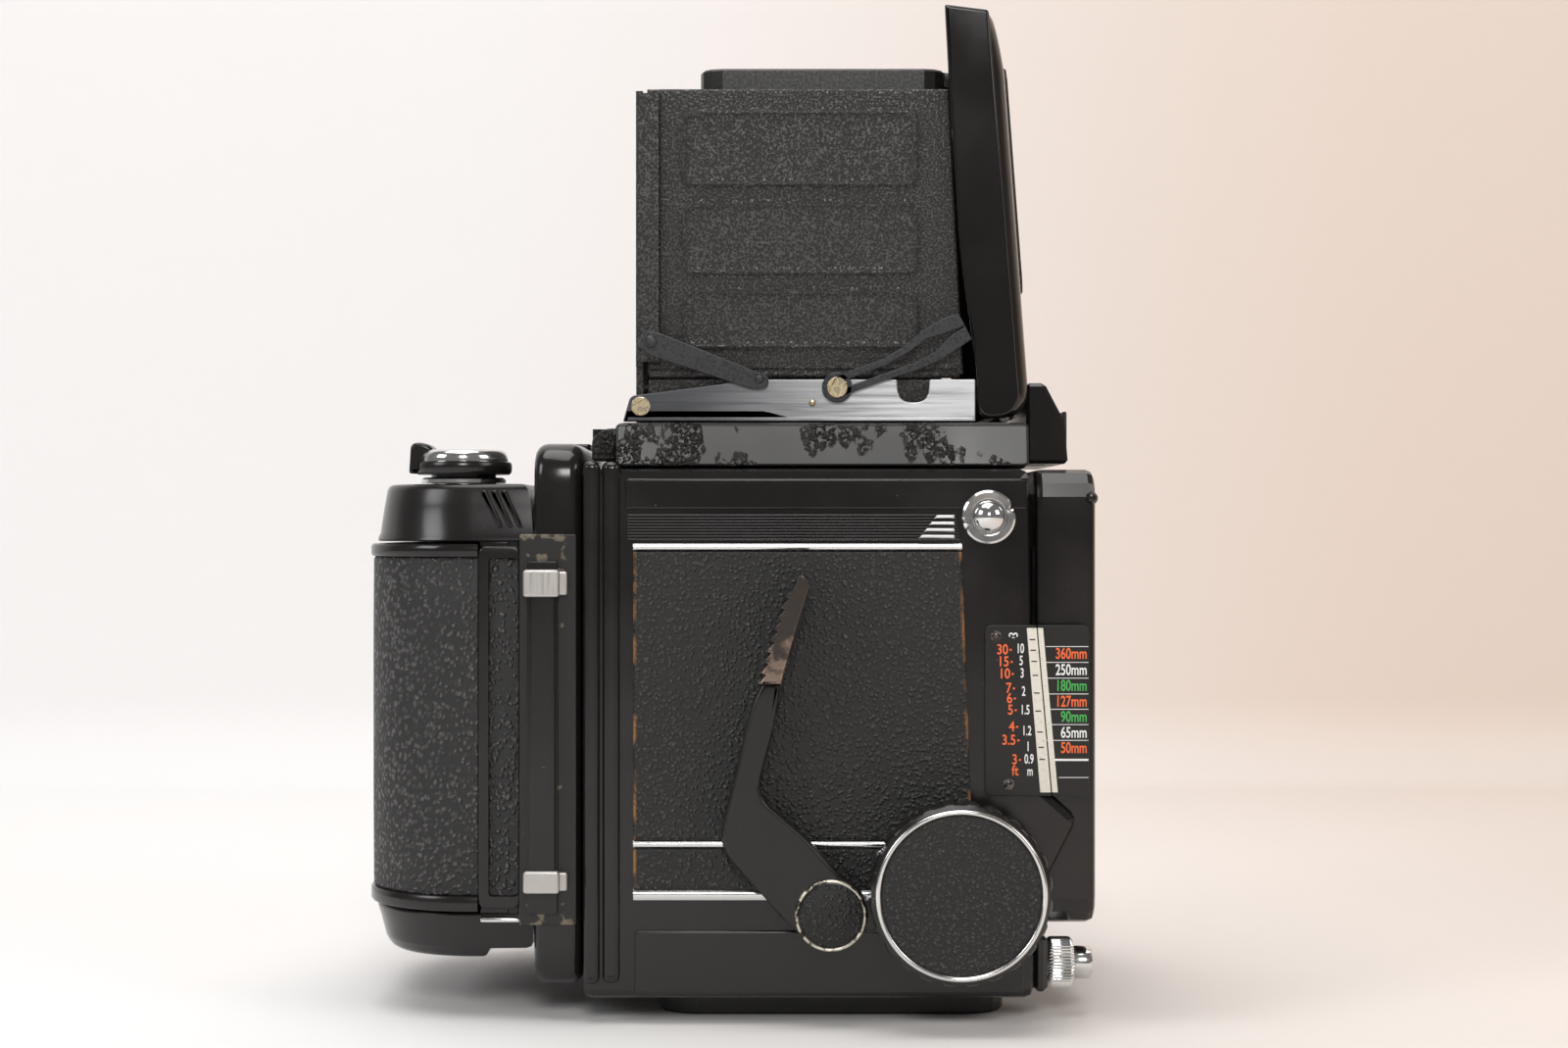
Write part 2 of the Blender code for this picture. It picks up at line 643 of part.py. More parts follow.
def build_mirror(swing):
    """Reflex mirror in its frame, 45 degrees down from its top rear hinge."""
    lean = math.sqrt(0.5)
    start, end, deep = 2.0, MIRROR_LENGTH, 3.0

    def along(distance, below):
        return (MIRROR_X + (distance - below) * lean,
                MIRROR_Z - (distance + below) * lean)

    frame_points = [along(start, 0.0), along(end, 0.0), along(end, deep),
                    along(start, deep)]
    frame = plate("mirror_frame", frame_points, "Y",
                  (-MIRROR_HALF, MIRROR_HALF), swing, BLACK_METAL)
    barrel = rod("join_mirror_barrel", 2.4, "Y", (MIRROR_X, 0, MIRROR_Z),
                 (-BOX_HALF + BOX_WALL + GAP, BOX_HALF - BOX_WALL - GAP),
                 swing, None, 20)
    boolean(frame, barrel, "UNION")
    face = 0.1
    glass_points = [along(6.0, -face - MIRROR_THICK), along(end - 1.0,
                    -face - MIRROR_THICK), along(end - 1.0, -face),
                    along(6.0, -face)]
    plate("mirror_glass", glass_points, "Y",
          (-MIRROR_HALF + 1.0, MIRROR_HALF - 1.0), swing, MIRROR_FACE)


# ------------------------------------------------- revolving back
def build_adapter(back):
    """Round cornered plate that turns on the body's rear bearing."""
    outline = rounded(-ADAPTER_HALF, ADAPTER_HALF, AXIS_Z - ADAPTER_HALF_Z,
                      AXIS_Z + ADAPTER_HALF_Z, ADAPTER_ROUND, 4)
    front = BODY_REAR - GAP
    adapter = plate("back_adapter", outline, "X", (ADAPTER_REAR, front), back,
                    LACQUER)
    add_bevel(adapter, 2.2, 2, 50.0)
    ring = [(REAR_HOLE_R, BODY_REAR + REAR_WALL - GAP),
            (REAR_HOLE_R, front - 1.0), (REAR_HOLE_R - 2.0, front - 1.0),
            (REAR_HOLE_R - 2.0, BODY_REAR + REAR_WALL - GAP)]
    boolean(adapter, turned("join_bearing", ring, "X", (0.0, 0.0, AXIS_Z),
                            back, None, 48), "UNION")
    window = slab("cut_adapter_window", (ADAPTER_REAR - 5.0, front + 8.0),
                  (-LIGHT_HALF_Y, LIGHT_HALF_Y),
                  (AXIS_Z - LIGHT_HALF_Z, AXIS_Z + LIGHT_HALF_Z), back, None)
    boolean(adapter, window)
    boolean(adapter, slab("join_format_mark", (-37.4, front - 2.4),
                          (-12.0, 12.0),
                          (AXIS_Z + ADAPTER_HALF_Z - 2.0,
                           AXIS_Z + ADAPTER_HALF_Z + 0.9), back, None),
            "UNION")
    for side, sign in (("right", -1), ("left", 1)):
        wide = tuple(sorted((sign * (ADAPTER_HALF - 1.5),
                             sign * (ADAPTER_HALF + 1.0))))
        boolean(adapter, slab("join_lock_plate_" + side, (-44.9, -32.6), wide,
                              (LOCK_LOW, LOCK_TOP), back, None), "UNION")


def build_locks(back):
    """Sliding bars with end tabs that grip the film holder's two sides."""
    for side, sign in (("right", -1), ("left", 1)):
        joint = joint_empty("lock_joint_" + side,
                            (-40.0, sign * 50.5, AXIS_Z - 4.0), back)
        inside = ADAPTER_HALF + 1.1 + GAP
        wide = tuple(sorted((sign * inside, sign * (inside + 1.2))))
        bar = slab("slide_lock_" + side, (-43.1, -36.6), wide, (24.0, 100.0),
                   joint, BRUSHED)
        for tag, low, top in (("top", 92.3, 98.2), ("low", 28.7, 33.5)):
            out = tuple(sorted((sign * (inside + 0.4), sign * (inside + 3.0))))
            boolean(bar, slab("join_tab_%s_%s" % (side, tag), (-43.8, -36.9),
                              out, (low, top), joint, None), "UNION")


def back_plan(inset):
    """Plan outline of the film back, square in front and round behind."""
    half, rear = HOLDER_HALF - inset, BACK_REAR + inset
    radius = BACK_ROUND - inset
    front = HOLDER_PLATE_REAR - GAP
    return ([(front, -half)]
            + arc(rear + radius, -half + radius, radius, 270, 180, 6)
            + arc(rear + radius, half - radius, radius, 180, 90, 6)
            + [(front, half)])


def build_film_holder(back):
    """Film holder: gate plate between a top cap and a bottom cap."""
    outline = [(ADAPTER_REAR - GAP, 15.1), (ADAPTER_REAR - GAP, HOLDER_TOP),
               (-77.0, HOLDER_TOP), (-78.5, CAP_UNDER),
               (HOLDER_PLATE_REAR, CAP_UNDER), (HOLDER_PLATE_REAR, CAP_OVER),
               (-78.5, CAP_OVER), (-77.0, HOLDER_LOW), (-52.5, HOLDER_LOW),
               (-52.5, 15.1)]
    holder = plate("film_holder", outline, "Y", (-HOLDER_HALF, HOLDER_HALF),
                   back, LACQUER)
    trim = back_plan(1.6)
    trim[0] = (0.0, trim[0][1])
    trim[-1] = (0.0, trim[-1][1])
    boolean(holder, plate("trim_holder", trim, "Z", (0.0, OVER_BACK), back, None),
            "INTERSECT")
    add_bevel(holder, 1.2, 1, 50.0)
    boolean(holder, slab("cut_gate", (-60.0, -38.0),
                         (-LIGHT_HALF_Y, LIGHT_HALF_Y),
                         (AXIS_Z - LIGHT_HALF_Z, AXIS_Z + LIGHT_HALF_Z), back,
                         None))
    thick = 1.0
    boolean(holder, slab("cut_slide_slot",
                         (SLIDE_X - SLIDE, SLIDE_X + thick + SLIDE),
                         (-LIGHT_HALF_Y - 4.0, HOLDER_HALF + 5.0),
                         (AXIS_Z - SLIDE_HALF_Z - SLIDE,
                          AXIS_Z + SLIDE_HALF_Z + SLIDE), back, None))
    build_dark_slide(back, thick)
    half = HOLDER_SIDE + GAP / 3
    slab("latch_panel", (-53.8, -44.8), (-half - 1.2, -half), (26.5, 101.0),
         back, LEATHER)
    return holder


def build_dark_slide(back, thick):
    """Thin steel sheet with a wire pull, drawn out to the left."""
    joint = joint_empty("dark_slide_joint", (SLIDE_X, 0.0, AXIS_Z), back)
    sheet = slab("dark_slide", (SLIDE_X, SLIDE_X + thick),
                 (-LIGHT_HALF_Y - 3.5, HOLDER_HALF + 2.0),
                 (AXIS_Z - SLIDE_HALF_Z, AXIS_Z + SLIDE_HALF_Z), joint, STEEL)
    boolean(sheet, slab("join_slide_pull", (SLIDE_X - 2.2, SLIDE_X + 1.8),
                        (HOLDER_HALF + 0.5, HOLDER_HALF + 4.5),
                        (AXIS_Z - 16.0, AXIS_Z + 16.0), joint, None), "UNION")


def build_latch(back):
    """Bright bar under the side panel that frees the door."""
    joint = joint_empty("door_latch_joint", (-49.5, -46.0, 23.0), back)
    half = HOLDER_SIDE + GAP
    slab("door_latch", (-53.8, -45.2), (-half - 1.1, -half), (21.0, 22.6),
         joint, CHROME)


def build_door(back):
    """Leathered rear door, hinged along its left edge."""
    joint = joint_empty("back_door_joint", (HINGE_X, HINGE_Y, AXIS_Z), back)
    span = (CAP_OVER + 0.4, CAP_UNDER - 0.4)
    door = plate("back_door", back_plan(0.0), "Z", span, joint, LEATHER)
    hollow = back_plan(DOOR_WALL)
    hollow[0] = (HOLDER_PLATE_REAR + 5.0, hollow[0][1])
    hollow[-1] = (HOLDER_PLATE_REAR + 5.0, hollow[-1][1])
    boolean(door, plate("cut_door", hollow, "Z", (0.0, OVER_BACK), joint, None))
    boolean(door, rod("join_door_barrel", HINGE_R, "Z",
                      (HINGE_X, HINGE_Y, 0), (BARREL_LOW, BARREL_TOP), joint,
                      None, 16),
            "UNION")
    boolean(door, slab("join_door_leaf", (HINGE_X - 6.0, HINGE_X),
                       (HOLDER_HALF - 0.6, HINGE_Y - 0.6),
                       (BARREL_LOW, BARREL_TOP),
                       joint, None), "UNION")
    boolean(door, rod("cut_door_barrel", HINGE_PIN_R + GAP / 2, "Z",
                      (HINGE_X, HINGE_Y, 0), (0.0, OVER_BACK), joint, None, 16))
    pad = slab("pressure_plate", (BACK_REAR + DOOR_WALL + 0.2, -75.4),
               (-16.0, 16.0), (AXIS_Z - 26.0, AXIS_Z + 26.0), joint,
               BLACK_METAL, 0.4)
    pin = rod("door_hinge_pin", HINGE_PIN_R, "Z", (HINGE_X, HINGE_Y, 0),
              (36.0, 97.0), back, STEEL, 16)
    for low, top in ((36.0, BARREL_LOW - GAP), (BARREL_TOP + GAP, 97.0)):
        tag = "low" if low < AXIS_Z else "top"
        boolean(pin, rod("join_knuckle_" + tag, HINGE_R, "Z",
                         (HINGE_X, HINGE_Y, 0), (low, top), back, None, 16),
                "UNION")
        boolean(pin, slab("join_leaf_" + tag, (HINGE_X, HINGE_X + 5.2),
                          (HOLDER_SIDE + GAP / 3, HINGE_Y - 0.6),
                          (low, top), back, None), "UNION")
    return pad


def build_spools(back):
    """Two film spools standing between the holder's caps."""
    for name, sign in (("take_up_spool", -1), ("supply_spool", 1)):
        joint = joint_empty(name + "_joint", (SPOOL_X, sign * SPOOL_Y, AXIS_Z),
                            back)
        low, top, core = CAP_OVER + GAP, CAP_UNDER - GAP, 4.5
        profile = [(0.0, top), (SPOOL_R, top), (SPOOL_R, top - 1.5),
                   (core, top - 1.5), (core, low + 1.5), (SPOOL_R, low + 1.5),
                   (SPOOL_R, low), (0.0, low)]
        turned(name, profile, "Z", (SPOOL_X, sign * SPOOL_Y, 0.0), joint,
               BLACK_PLASTIC, 24)


def build_advance(back):
    """Film advance: black lever ring with a tab and a bright top disc."""
    slab_top = HOLDER_TOP
    joint = joint_empty("advance_joint", (DIAL_X, DIAL_Y, slab_top), back)
    at = (DIAL_X, DIAL_Y, 0.0)
    profile = [(0.0, 122.4), (DIAL_R, 122.4), (DIAL_R, 118.9), (8.0, 118.9),
               (8.0, slab_top + GAP), (0.0, slab_top + GAP)]
    ring = turned("advance_lever", profile, "Z", at, joint, BLACK_METAL, 36)
    boolean(ring, slab("join_advance_tab", (-70.8, -64.0),
                       (DIAL_Y - 5.5, DIAL_Y + 5.5), (119.4, 125.6), joint,
                       None), "UNION")
    boolean(ring, rod("cut_advance_top", 9.8, "Z", (DIAL_X, DIAL_Y, 0),
                      (122.0, 130.0), joint, None, 36))
    profile = [(0.0, 124.6), (9.0, 124.6), (9.5, 124.1), (9.5, 122.1),
               (0.0, 122.1)]
    turned("advance_disc", profile, "Z", at, joint, CHROME, 36)


# ------------------------------------------------- finder and hood
def build_finder(root):
    """Finder rail frame, sloped front block and the hood's side plates."""
    outline = rounded(FRAME_REAR, FRAME_FRONT, -FRAME_HALF, FRAME_HALF, 4.0, 2)
    frame = plate("finder_frame", outline, "Z", (FRAME_LOW, FRAME_TOP), root,
                  BLACK_METAL)
    add_bevel(frame, 1.0, 1, 50.0)
    boolean(frame, slab("cut_chimney", (CHIMNEY_REAR, CHIMNEY_FRONT),
                        (-CHIMNEY_HALF, CHIMNEY_HALF),
                        (FRAME_LOW - 5.0, FRAME_TOP + 5.0), root, None))
    boolean(frame, slab("join_rear_catch", (FRAME_REAR - 5.0,
                                            FRAME_REAR + 2.0),
                        (-FRAME_HALF + 4.5, FRAME_HALF - 4.5),
                        (123.3, 128.8), root, None), "UNION")
    points = [(FRAME_FRONT + GAP, 121.4), (75.5, 121.4), (74.6, 131.0),
              (70.2, 139.4), (FRAME_FRONT + GAP, 139.4)]
    plate("finder_front_block", points, "Y", (-32.0, 32.0), root, BLACK_METAL,
          0.8)
    for side, sign in (("right", -1), ("left", 1)):
        build_side_plate(side, sign, root)


def build_side_plate(side, sign, root):
    """Notched side plate with its rear link, front stay and stay screw."""
    low = FRAME_TOP + GAP
    points = [(-22.6, low), (52.2, low), (52.2, PLATE_TOP), (44.0, PLATE_TOP),
              (44.0, 134.5), (36.9, 134.5), (36.9, PLATE_TOP),
              (-10.0, PLATE_TOP), (-22.6, 135.2)]
    wide = tuple(sorted((sign * PLATE_IN, sign * PLATE_OUT)))
    plate("hood_plate_" + side, points, "Y", wide, root, BLACK_METAL)
    out = PLATE_OUT + 0.2
    wide = tuple(sorted((sign * out, sign * (out + 1.0))))
    link = [(-19.0, 145.6), (6.6, 137.4), (8.6, 139.0), (8.0, 141.2),
            (-16.2, 149.6), (-18.6, 149.4)]
    plate("rear_link_" + side, link, "Y", wide, root, SATIN)
    stay = [(STAY_X - 4.0, STAY_Z - 3.0), (STAY_X + 3.0, STAY_Z - 3.2),
            (38.0, 140.6), (42.6, 143.8), (53.6, 147.6), (55.6, 151.6),
            (53.8, 156.2), (49.6, 156.8), (37.6, 146.4), (STAY_X, 142.6),
            (STAY_X - 4.0, 141.4)]
    arm = plate("front_stay_" + side, stay, "Y", wide, root, SATIN)
    boolean(arm, rod("cut_stay_eye_" + side, STAY_EYE_R, "Y", (52.0, 0, 152.2),
                     tuple(sorted((sign * 30.0, sign * 50.0))), root, None,
                     20))
    head = out + 1.0 + 0.1
    profile = [(0.0, head + 1.0), (1.9, head + 1.0), (2.25, head + 0.6),
               (2.25, head), (0.0, head)]
    turned("stay_screw_" + side, profile, "-Y" if sign < 0 else "Y",
           (STAY_X, 0.0, STAY_Z), root, BRASS, 20)


def build_rear_wall(root):
    """Fixed rear wall of the hood with flanges outside the side walls."""
    half = WALL_Y + WALL_THICK / 2 + GAP
    wall = slab("hood_rear_wall", (REAR_WALL_X, REAR_WALL_X + 1.5),
                (-half - 0.4, half + 0.4), (FRAME_TOP + GAP, 203.0), root,
                CRINKLE)
    for side, sign in (("right", -1), ("left", 1)):
        wide = tuple(sorted((sign * half, sign * (half + 0.9))))
        boolean(wall, slab("join_rear_flange_" + side,
                           (REAR_WALL_X + 0.4, REAR_WALL_X + 5.0), wide,
                           (PLATE_TOP + 4.0, 202.5), root, None), "UNION")
        notch = tuple(sorted((sign * (half - 0.6), sign * (half + 5.0))))
        boolean(wall, slab("cut_rear_foot_" + side,
                           (REAR_WALL_X - 5.0, REAR_WALL_X + 8.0), notch,
                           (FRAME_TOP - 5.0, PLATE_TOP + 3.0), root, None))


def build_hood_wall(side, sign, hinge_z, root):
    """Side wall of the hood, hinged along its lower edge to fold inward."""
    joint = joint_empty("hood_wall_joint_" + side, (0.0, sign * WALL_Y,
                                                    hinge_z), root)
    rear, low = REAR_WALL_X + 2.4, hinge_z - 0.5
    points = [(rear, low), (51.6, low), (51.6, 160.0), (48.4, WALL_TOP),
              (rear, WALL_TOP)]
    wide = (sign * WALL_Y - WALL_THICK / 2, sign * WALL_Y + WALL_THICK / 2)
    wall = plate("hood_wall_" + side, points, "Y", wide, joint, CRINKLE)
    boolean(wall, rod("join_wall_barrel_" + side, WALL_HINGE_R, "X",
                      (0, sign * WALL_Y, hinge_z), (rear, 51.6), joint, None,
                      12), "UNION")
    outer = sign * (WALL_Y + WALL_THICK / 2)
    wide = tuple(sorted((outer - sign * 0.3, outer + sign * 0.35)))
    for tag, low, top in (("a", 181.7, 199.2), ("b", 162.3, 178.9),
                          ("c", 146.0, 159.7)):
        boolean(wall, slab("join_emboss_%s_%s" % (side, tag), (-10.7, 42.1),
                           wide, (low, top), joint, None), "UNION")


def build_lid(lid):
    """Hood lid: leaning panel with side flanges, hinge barrel and ears."""
    def panel_x(z):
        return LID_HINGE_X + 1.0 - (z - LID_HINGE_Z) * 0.075

    outer = [(panel_x(z) + 2.4, z) for z in (136.0, LID_TOP - 2.0)]
    inner = [(panel_x(z), z) for z in (LID_TOP - 2.0, 136.0)]
    foot = [(LID_HINGE_X - 0.6, LID_HINGE_Z), (LID_HINGE_X + 1.0, LID_HINGE_Z)]
    panel = plate("hood_lid", foot + outer + inner, "Y",
                  (-LID_FLANGE_OUT, LID_FLANGE_OUT), lid, CRINKLE)
    flange = [(panel_x(133.0) + 1.6, 133.0), (panel_x(136.0) + 2.0, 136.0),
              (panel_x(LID_TOP - 3.0) + 1.6, LID_TOP - 3.0),
              (panel_x(LID_TOP) - 2.0, LID_TOP), (47.3, LID_TOP),
              (50.8, 166.8), (54.4, 142.0), (54.8, 133.0)]
    for side, sign in (("right", -1), ("left", 1)):
        wide = tuple(sorted((sign * LID_FLANGE_IN, sign * LID_FLANGE_OUT)))
        boolean(panel, plate("join_lid_flange_" + side, flange, "Y", wide,
                             lid, None), "UNION")
        ear = [(panel_x(201.0) + 1.0, 201.0), (panel_x(213.0) + 1.0, 213.0),
               (MAG_HINGE_X - 1.5, MAG_HINGE_Z + 2.4),
               (MAG_HINGE_X - 1.5, MAG_HINGE_Z - 2.4)]
        wide = tuple(sorted((sign * (MAG_HALF + 1.0), sign * (MAG_HALF + 3))))
        boolean(panel, plate("join_lid_ear_" + side, ear, "Y", wide, lid,
                             None), "UNION")
        pin = tuple(sorted((sign * (LID_FLANGE_OUT - 0.5),
                            sign * (PLATE_OUT + 1.6))))
        boolean(panel, rod("join_lid_pin_" + side, 1.0, "Y", (52.0, 0, 152.2),
                           pin, lid, None, 12), "UNION")
    boolean(panel, rod("join_lid_barrel", 1.3, "Y",
                       (LID_HINGE_X, 0, LID_HINGE_Z),
                       (-LID_FLANGE_IN, LID_FLANGE_IN), lid, None, 16),
            "UNION")
    boolean(panel, rod("cut_lid_ears", 1.0 + RUN / 2, "Y",
                       (MAG_HINGE_X, 0, MAG_HINGE_Z), (-36.0, 36.0), lid,
                       None, 16))
    plate_points = [(panel_x(156.0) + 1.6, 156.0),
                    (panel_x(156.0) + 4.2, 156.6),
                    (panel_x(214.0) + 4.0, 213.4),
                    (panel_x(214.0) + 1.6, 214.0)]
    boolean(panel, plate("join_lid_front", plate_points, "Y", (-31.0, 31.0),
                         lid, None), "UNION")


def build_magnifier(fold):
    """Magnifier frame with its lens, hinged on the lid's two ears."""
    low = MAG_HINGE_Z - MAG_THICK / 2
    outline = rounded(MAG_REAR, MAG_FRONT, -MAG_HALF, MAG_HALF, 5.0, 3)
    frame = plate("magnifier_frame", outline, "Z", (low, low + MAG_THICK),
                  fold, BLACK_METAL, 0.5)
    boolean(frame, rod("cut_lens_seat", LENS_R + GAP, "Z", (LENS_X, 0, 0),
                       (low - 5.0, low + 12.0), fold, None, 40))
    boolean(frame, rod("join_mag_pin", 1.0, "Y", (MAG_HINGE_X, 0,
                       MAG_HINGE_Z), (-MAG_HALF - 3.2, MAG_HALF + 3.2), fold,
                       None, 16), "UNION")
    boolean(frame, slab("join_mag_lug", (MAG_FRONT - 1.0, MAG_HINGE_X),
                        (-MAG_HALF + 4.0, MAG_HALF - 4.0),
                        (MAG_HINGE_Z - 0.9, MAG_HINGE_Z + 0.9), fold, None),
            "UNION")
    mid = MAG_HINGE_Z
    profile = [(0.0, mid + 1.9), (LENS_R * 0.5, mid + 1.6),
               (LENS_R, mid + 0.8), (LENS_R, mid - 0.8),
               (LENS_R * 0.5, mid - 1.6), (0.0, mid - 1.9)]
    turned("magnifier_lens", profile, "Z", (LENS_X, 0.0, 0.0), fold, GLASS,
           40)


def build_camera():
    """Every sub-assembly, each under the empty of the joint it moves on."""
    root = joint_empty("camera_root", (0.0, 0.0, 0.0))
    build_body(root)
    build_body_trim(root)
    build_base(root)
    build_light_path(root)
    build_fixed_scale(root)
    standard = joint_empty("focus_slide_joint", (STD_REAR, 0.0, AXIS_Z), root)
    build_front_standard(standard)
    build_lens_mount(standard)
    build_moving_scale(standard)
    build_focus_shaft(joint_empty("focus_knob_joint",
                                  (SHAFT_X, 0.0, SHAFT_Z), root))
    build_cocking_lever(joint_empty("cocking_lever_joint",
                                    (HUB_X, 0.0, HUB_Z), root))
    release_at = (COLLAR_REAR, RELEASE_Y, RELEASE_Z)
    build_release(root, joint_empty("release_lock_joint", release_at, root),
                  joint_empty("shutter_joint", release_at, root))
    build_mirror(joint_empty("mirror_joint", (MIRROR_X, 0.0, MIRROR_Z), root))
    back = joint_empty("back_revolve_joint", (BODY_REAR, 0.0, AXIS_Z), root)
    build_adapter(back)
    build_locks(back)
    build_film_holder(back)
    build_latch(back)
    build_door(back)
    build_spools(back)
    build_advance(back)
    build_finder(root)
    build_rear_wall(root)
    build_hood_wall("right", -1, RIGHT_HINGE_Z, root)
    build_hood_wall("left", 1, LEFT_HINGE_Z, root)
    lid = joint_empty("hood_lid_joint", (LID_HINGE_X, 0.0, LID_HINGE_Z), root)
    build_lid(lid)
    build_magnifier(joint_empty("magnifier_joint",
                                (MAG_HINGE_X, 0.0, MAG_HINGE_Z), lid))


for old in list(bpy.data.objects):
    bpy.data.objects.remove(old, do_unlink=True)

PARTS = collection("reflex_camera")
CUTTERS = collection("cutters")

LACQUER = material("black_lacquer", (0.02, 0.018, 0.016), 0.32, 0.0)
BLACK_METAL = material("black_anodised", (0.03, 0.03, 0.03), 0.45, 0.3)
MATT_BLACK = material("matt_black_paint", (0.015, 0.015, 0.015), 0.8, 0.0)
SATIN = material("satin_dark_steel", (0.12, 0.12, 0.12), 0.4, 0.8)
WORN_METAL = material("worn_dark_metal", (0.18, 0.15, 0.11), 0.45, 0.8)
CHROME = material("bright_chrome", (0.75, 0.75, 0.75), 0.15, 1.0)
BRUSHED = material("brushed_aluminium", (0.55, 0.55, 0.55), 0.35, 1.0)
STEEL = material("plain_steel", (0.45, 0.45, 0.45), 0.35, 1.0)
BRASS = material("pale_brass", (0.62, 0.52, 0.32), 0.35, 1.0)
LEATHER = material("black_leather", (0.025, 0.024, 0.023), 0.6, 0.0)
CRINKLE = material("crinkle_paint", (0.02, 0.02, 0.02), 0.75, 0.0)
ENAMEL = material("scale_enamel", (0.03, 0.03, 0.03), 0.4, 0.0)
BELLOWS_CLOTH = material("bellows_cloth", (0.015, 0.015, 0.015), 0.85, 0.0)
SCREEN_GLASS = material("ground_glass", (0.6, 0.62, 0.6), 0.5, 0.0)
GLASS = material("lens_glass", (0.8, 0.85, 0.85), 0.05, 0.0)
MIRROR_FACE = material("mirror_silver", (0.9, 0.9, 0.9), 0.03, 1.0)
BLACK_PLASTIC = material("black_plastic", (0.03, 0.03, 0.03), 0.5, 0.0)

build_camera()
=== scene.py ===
"""Looks of a medium format reflex camera with bellows focusing, a folding
hood and a revolving film back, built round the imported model. Sizes in the
sections are in millimetres. +X is the camera's front, -Y its right side."""

import math

import bmesh
import bpy
import mathutils
import mathutils.geometry
import numpy as np
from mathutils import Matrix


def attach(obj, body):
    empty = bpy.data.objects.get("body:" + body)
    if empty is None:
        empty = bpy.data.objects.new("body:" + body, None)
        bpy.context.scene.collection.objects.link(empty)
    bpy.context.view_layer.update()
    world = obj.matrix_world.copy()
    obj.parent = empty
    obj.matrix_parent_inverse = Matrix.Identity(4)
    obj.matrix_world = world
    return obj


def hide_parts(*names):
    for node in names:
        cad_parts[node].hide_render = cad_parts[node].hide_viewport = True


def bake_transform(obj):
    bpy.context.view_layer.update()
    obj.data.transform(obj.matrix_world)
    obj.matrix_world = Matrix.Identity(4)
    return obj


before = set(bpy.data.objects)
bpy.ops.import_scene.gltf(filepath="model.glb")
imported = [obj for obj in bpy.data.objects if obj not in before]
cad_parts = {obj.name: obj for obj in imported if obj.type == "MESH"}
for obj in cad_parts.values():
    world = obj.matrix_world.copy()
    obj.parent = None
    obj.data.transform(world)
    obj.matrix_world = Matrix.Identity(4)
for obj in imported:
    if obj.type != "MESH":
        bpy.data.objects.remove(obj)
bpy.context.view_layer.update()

# ---------------------------------------------------------------------------
# Body casting. A die-cast alloy box, sprayed with satin black lacquer that
# has gone warm with age and rubs thin along its edges. The rear post, a pair
# of round vertical ribs, covers the joint with the revolving back.

MM = 0.001
RIGHT = -49.2                   # outer face of the right side wall


def paint(name, colour, roughness, metallic=0.0, specular=0.5):
    """A Principled material, with its tree, shader and Object coordinates."""
    mat = bpy.data.materials.new(name)
    mat.use_nodes = True
    tree = mat.node_tree
    shader = tree.nodes["Principled BSDF"]
    shader.inputs["Base Color"].default_value = (*colour, 1.0)
    shader.inputs["Roughness"].default_value = roughness
    shader.inputs["Metallic"].default_value = metallic
    shader.inputs["Specular IOR Level"].default_value = specular
    where = tree.nodes.new("ShaderNodeTexCoord").outputs["Object"]
    return mat, tree, shader, where


def grain(tree, where, scale, detail=3.0, stretch=(1, 1, 1)):
    """Noise at so many grains a metre, drawn out along an axis if asked."""
    if stretch != (1, 1, 1):
        mapping = tree.nodes.new("ShaderNodeMapping")
        mapping.inputs["Scale"].default_value = stretch
        tree.links.new(where, mapping.inputs["Vector"])
        where = mapping.outputs["Vector"]
    noise = tree.nodes.new("ShaderNodeTexNoise")
    noise.inputs["Scale"].default_value = scale
    noise.inputs["Detail"].default_value = detail
    tree.links.new(where, noise.inputs["Vector"])
    return noise.outputs["Fac"]


def between(tree, value, low, high, out_low=0.0, out_high=1.0):
    """Map a value smoothly from one range to another."""
    node = tree.nodes.new("ShaderNodeMapRange")
    node.interpolation_type = "SMOOTHSTEP"
    tree.links.new(value, node.inputs["Value"])
    ends = (("From Min", low), ("From Max", high), ("To Min", out_low),
            ("To Max", out_high))
    for socket, number in ends:
        node.inputs[socket].default_value = number
    return node.outputs["Result"]


def times(tree, a, b, operation="MULTIPLY"):
    """Two values multiplied, or joined by another operation."""
    node = tree.nodes.new("ShaderNodeMath")
    node.operation = operation
    tree.links.new(a, node.inputs[0])
    if isinstance(b, (int, float)):
        node.inputs[1].default_value = b
    else:
        tree.links.new(b, node.inputs[1])
    return node.outputs["Value"]


def blend_colour(tree, share, first, second):
    """Two colours, or a colour socket and a colour, mixed by a share."""
    node = tree.nodes.new("ShaderNodeMixRGB")
    tree.links.new(share, node.inputs["Fac"])
    for socket, colour in (("Color1", first), ("Color2", second)):
        if isinstance(colour, tuple):
            node.inputs[socket].default_value = (*colour, 1.0)
        else:
            tree.links.new(colour, node.inputs[socket])
    return node.outputs["Color"]


def along(tree, where, axis):
    """One coordinate, in metres."""
    split = tree.nodes.new("ShaderNodeSeparateXYZ")
    tree.links.new(where, split.inputs[0])
    return split.outputs[axis]


def rough(tree, shader, value):
    """Let a value drive the roughness."""
    tree.links.new(value, shader.inputs["Roughness"])


def tint(tree, shader, share, first, second):
    """Colour the surface by a share between two colours."""
    tree.links.new(blend_colour(tree, share, first, second),
                   shader.inputs["Base Color"])


def relief(tree, shader, height, strength, depth):
    """Raise the surface by a height pattern; depth is in metres."""
    bump = tree.nodes.new("ShaderNodeBump")
    bump.inputs["Strength"].default_value = strength
    bump.inputs["Distance"].default_value = depth
    tree.links.new(height, bump.inputs["Height"])
    tree.links.new(bump.outputs["Normal"], shader.inputs["Normal"])


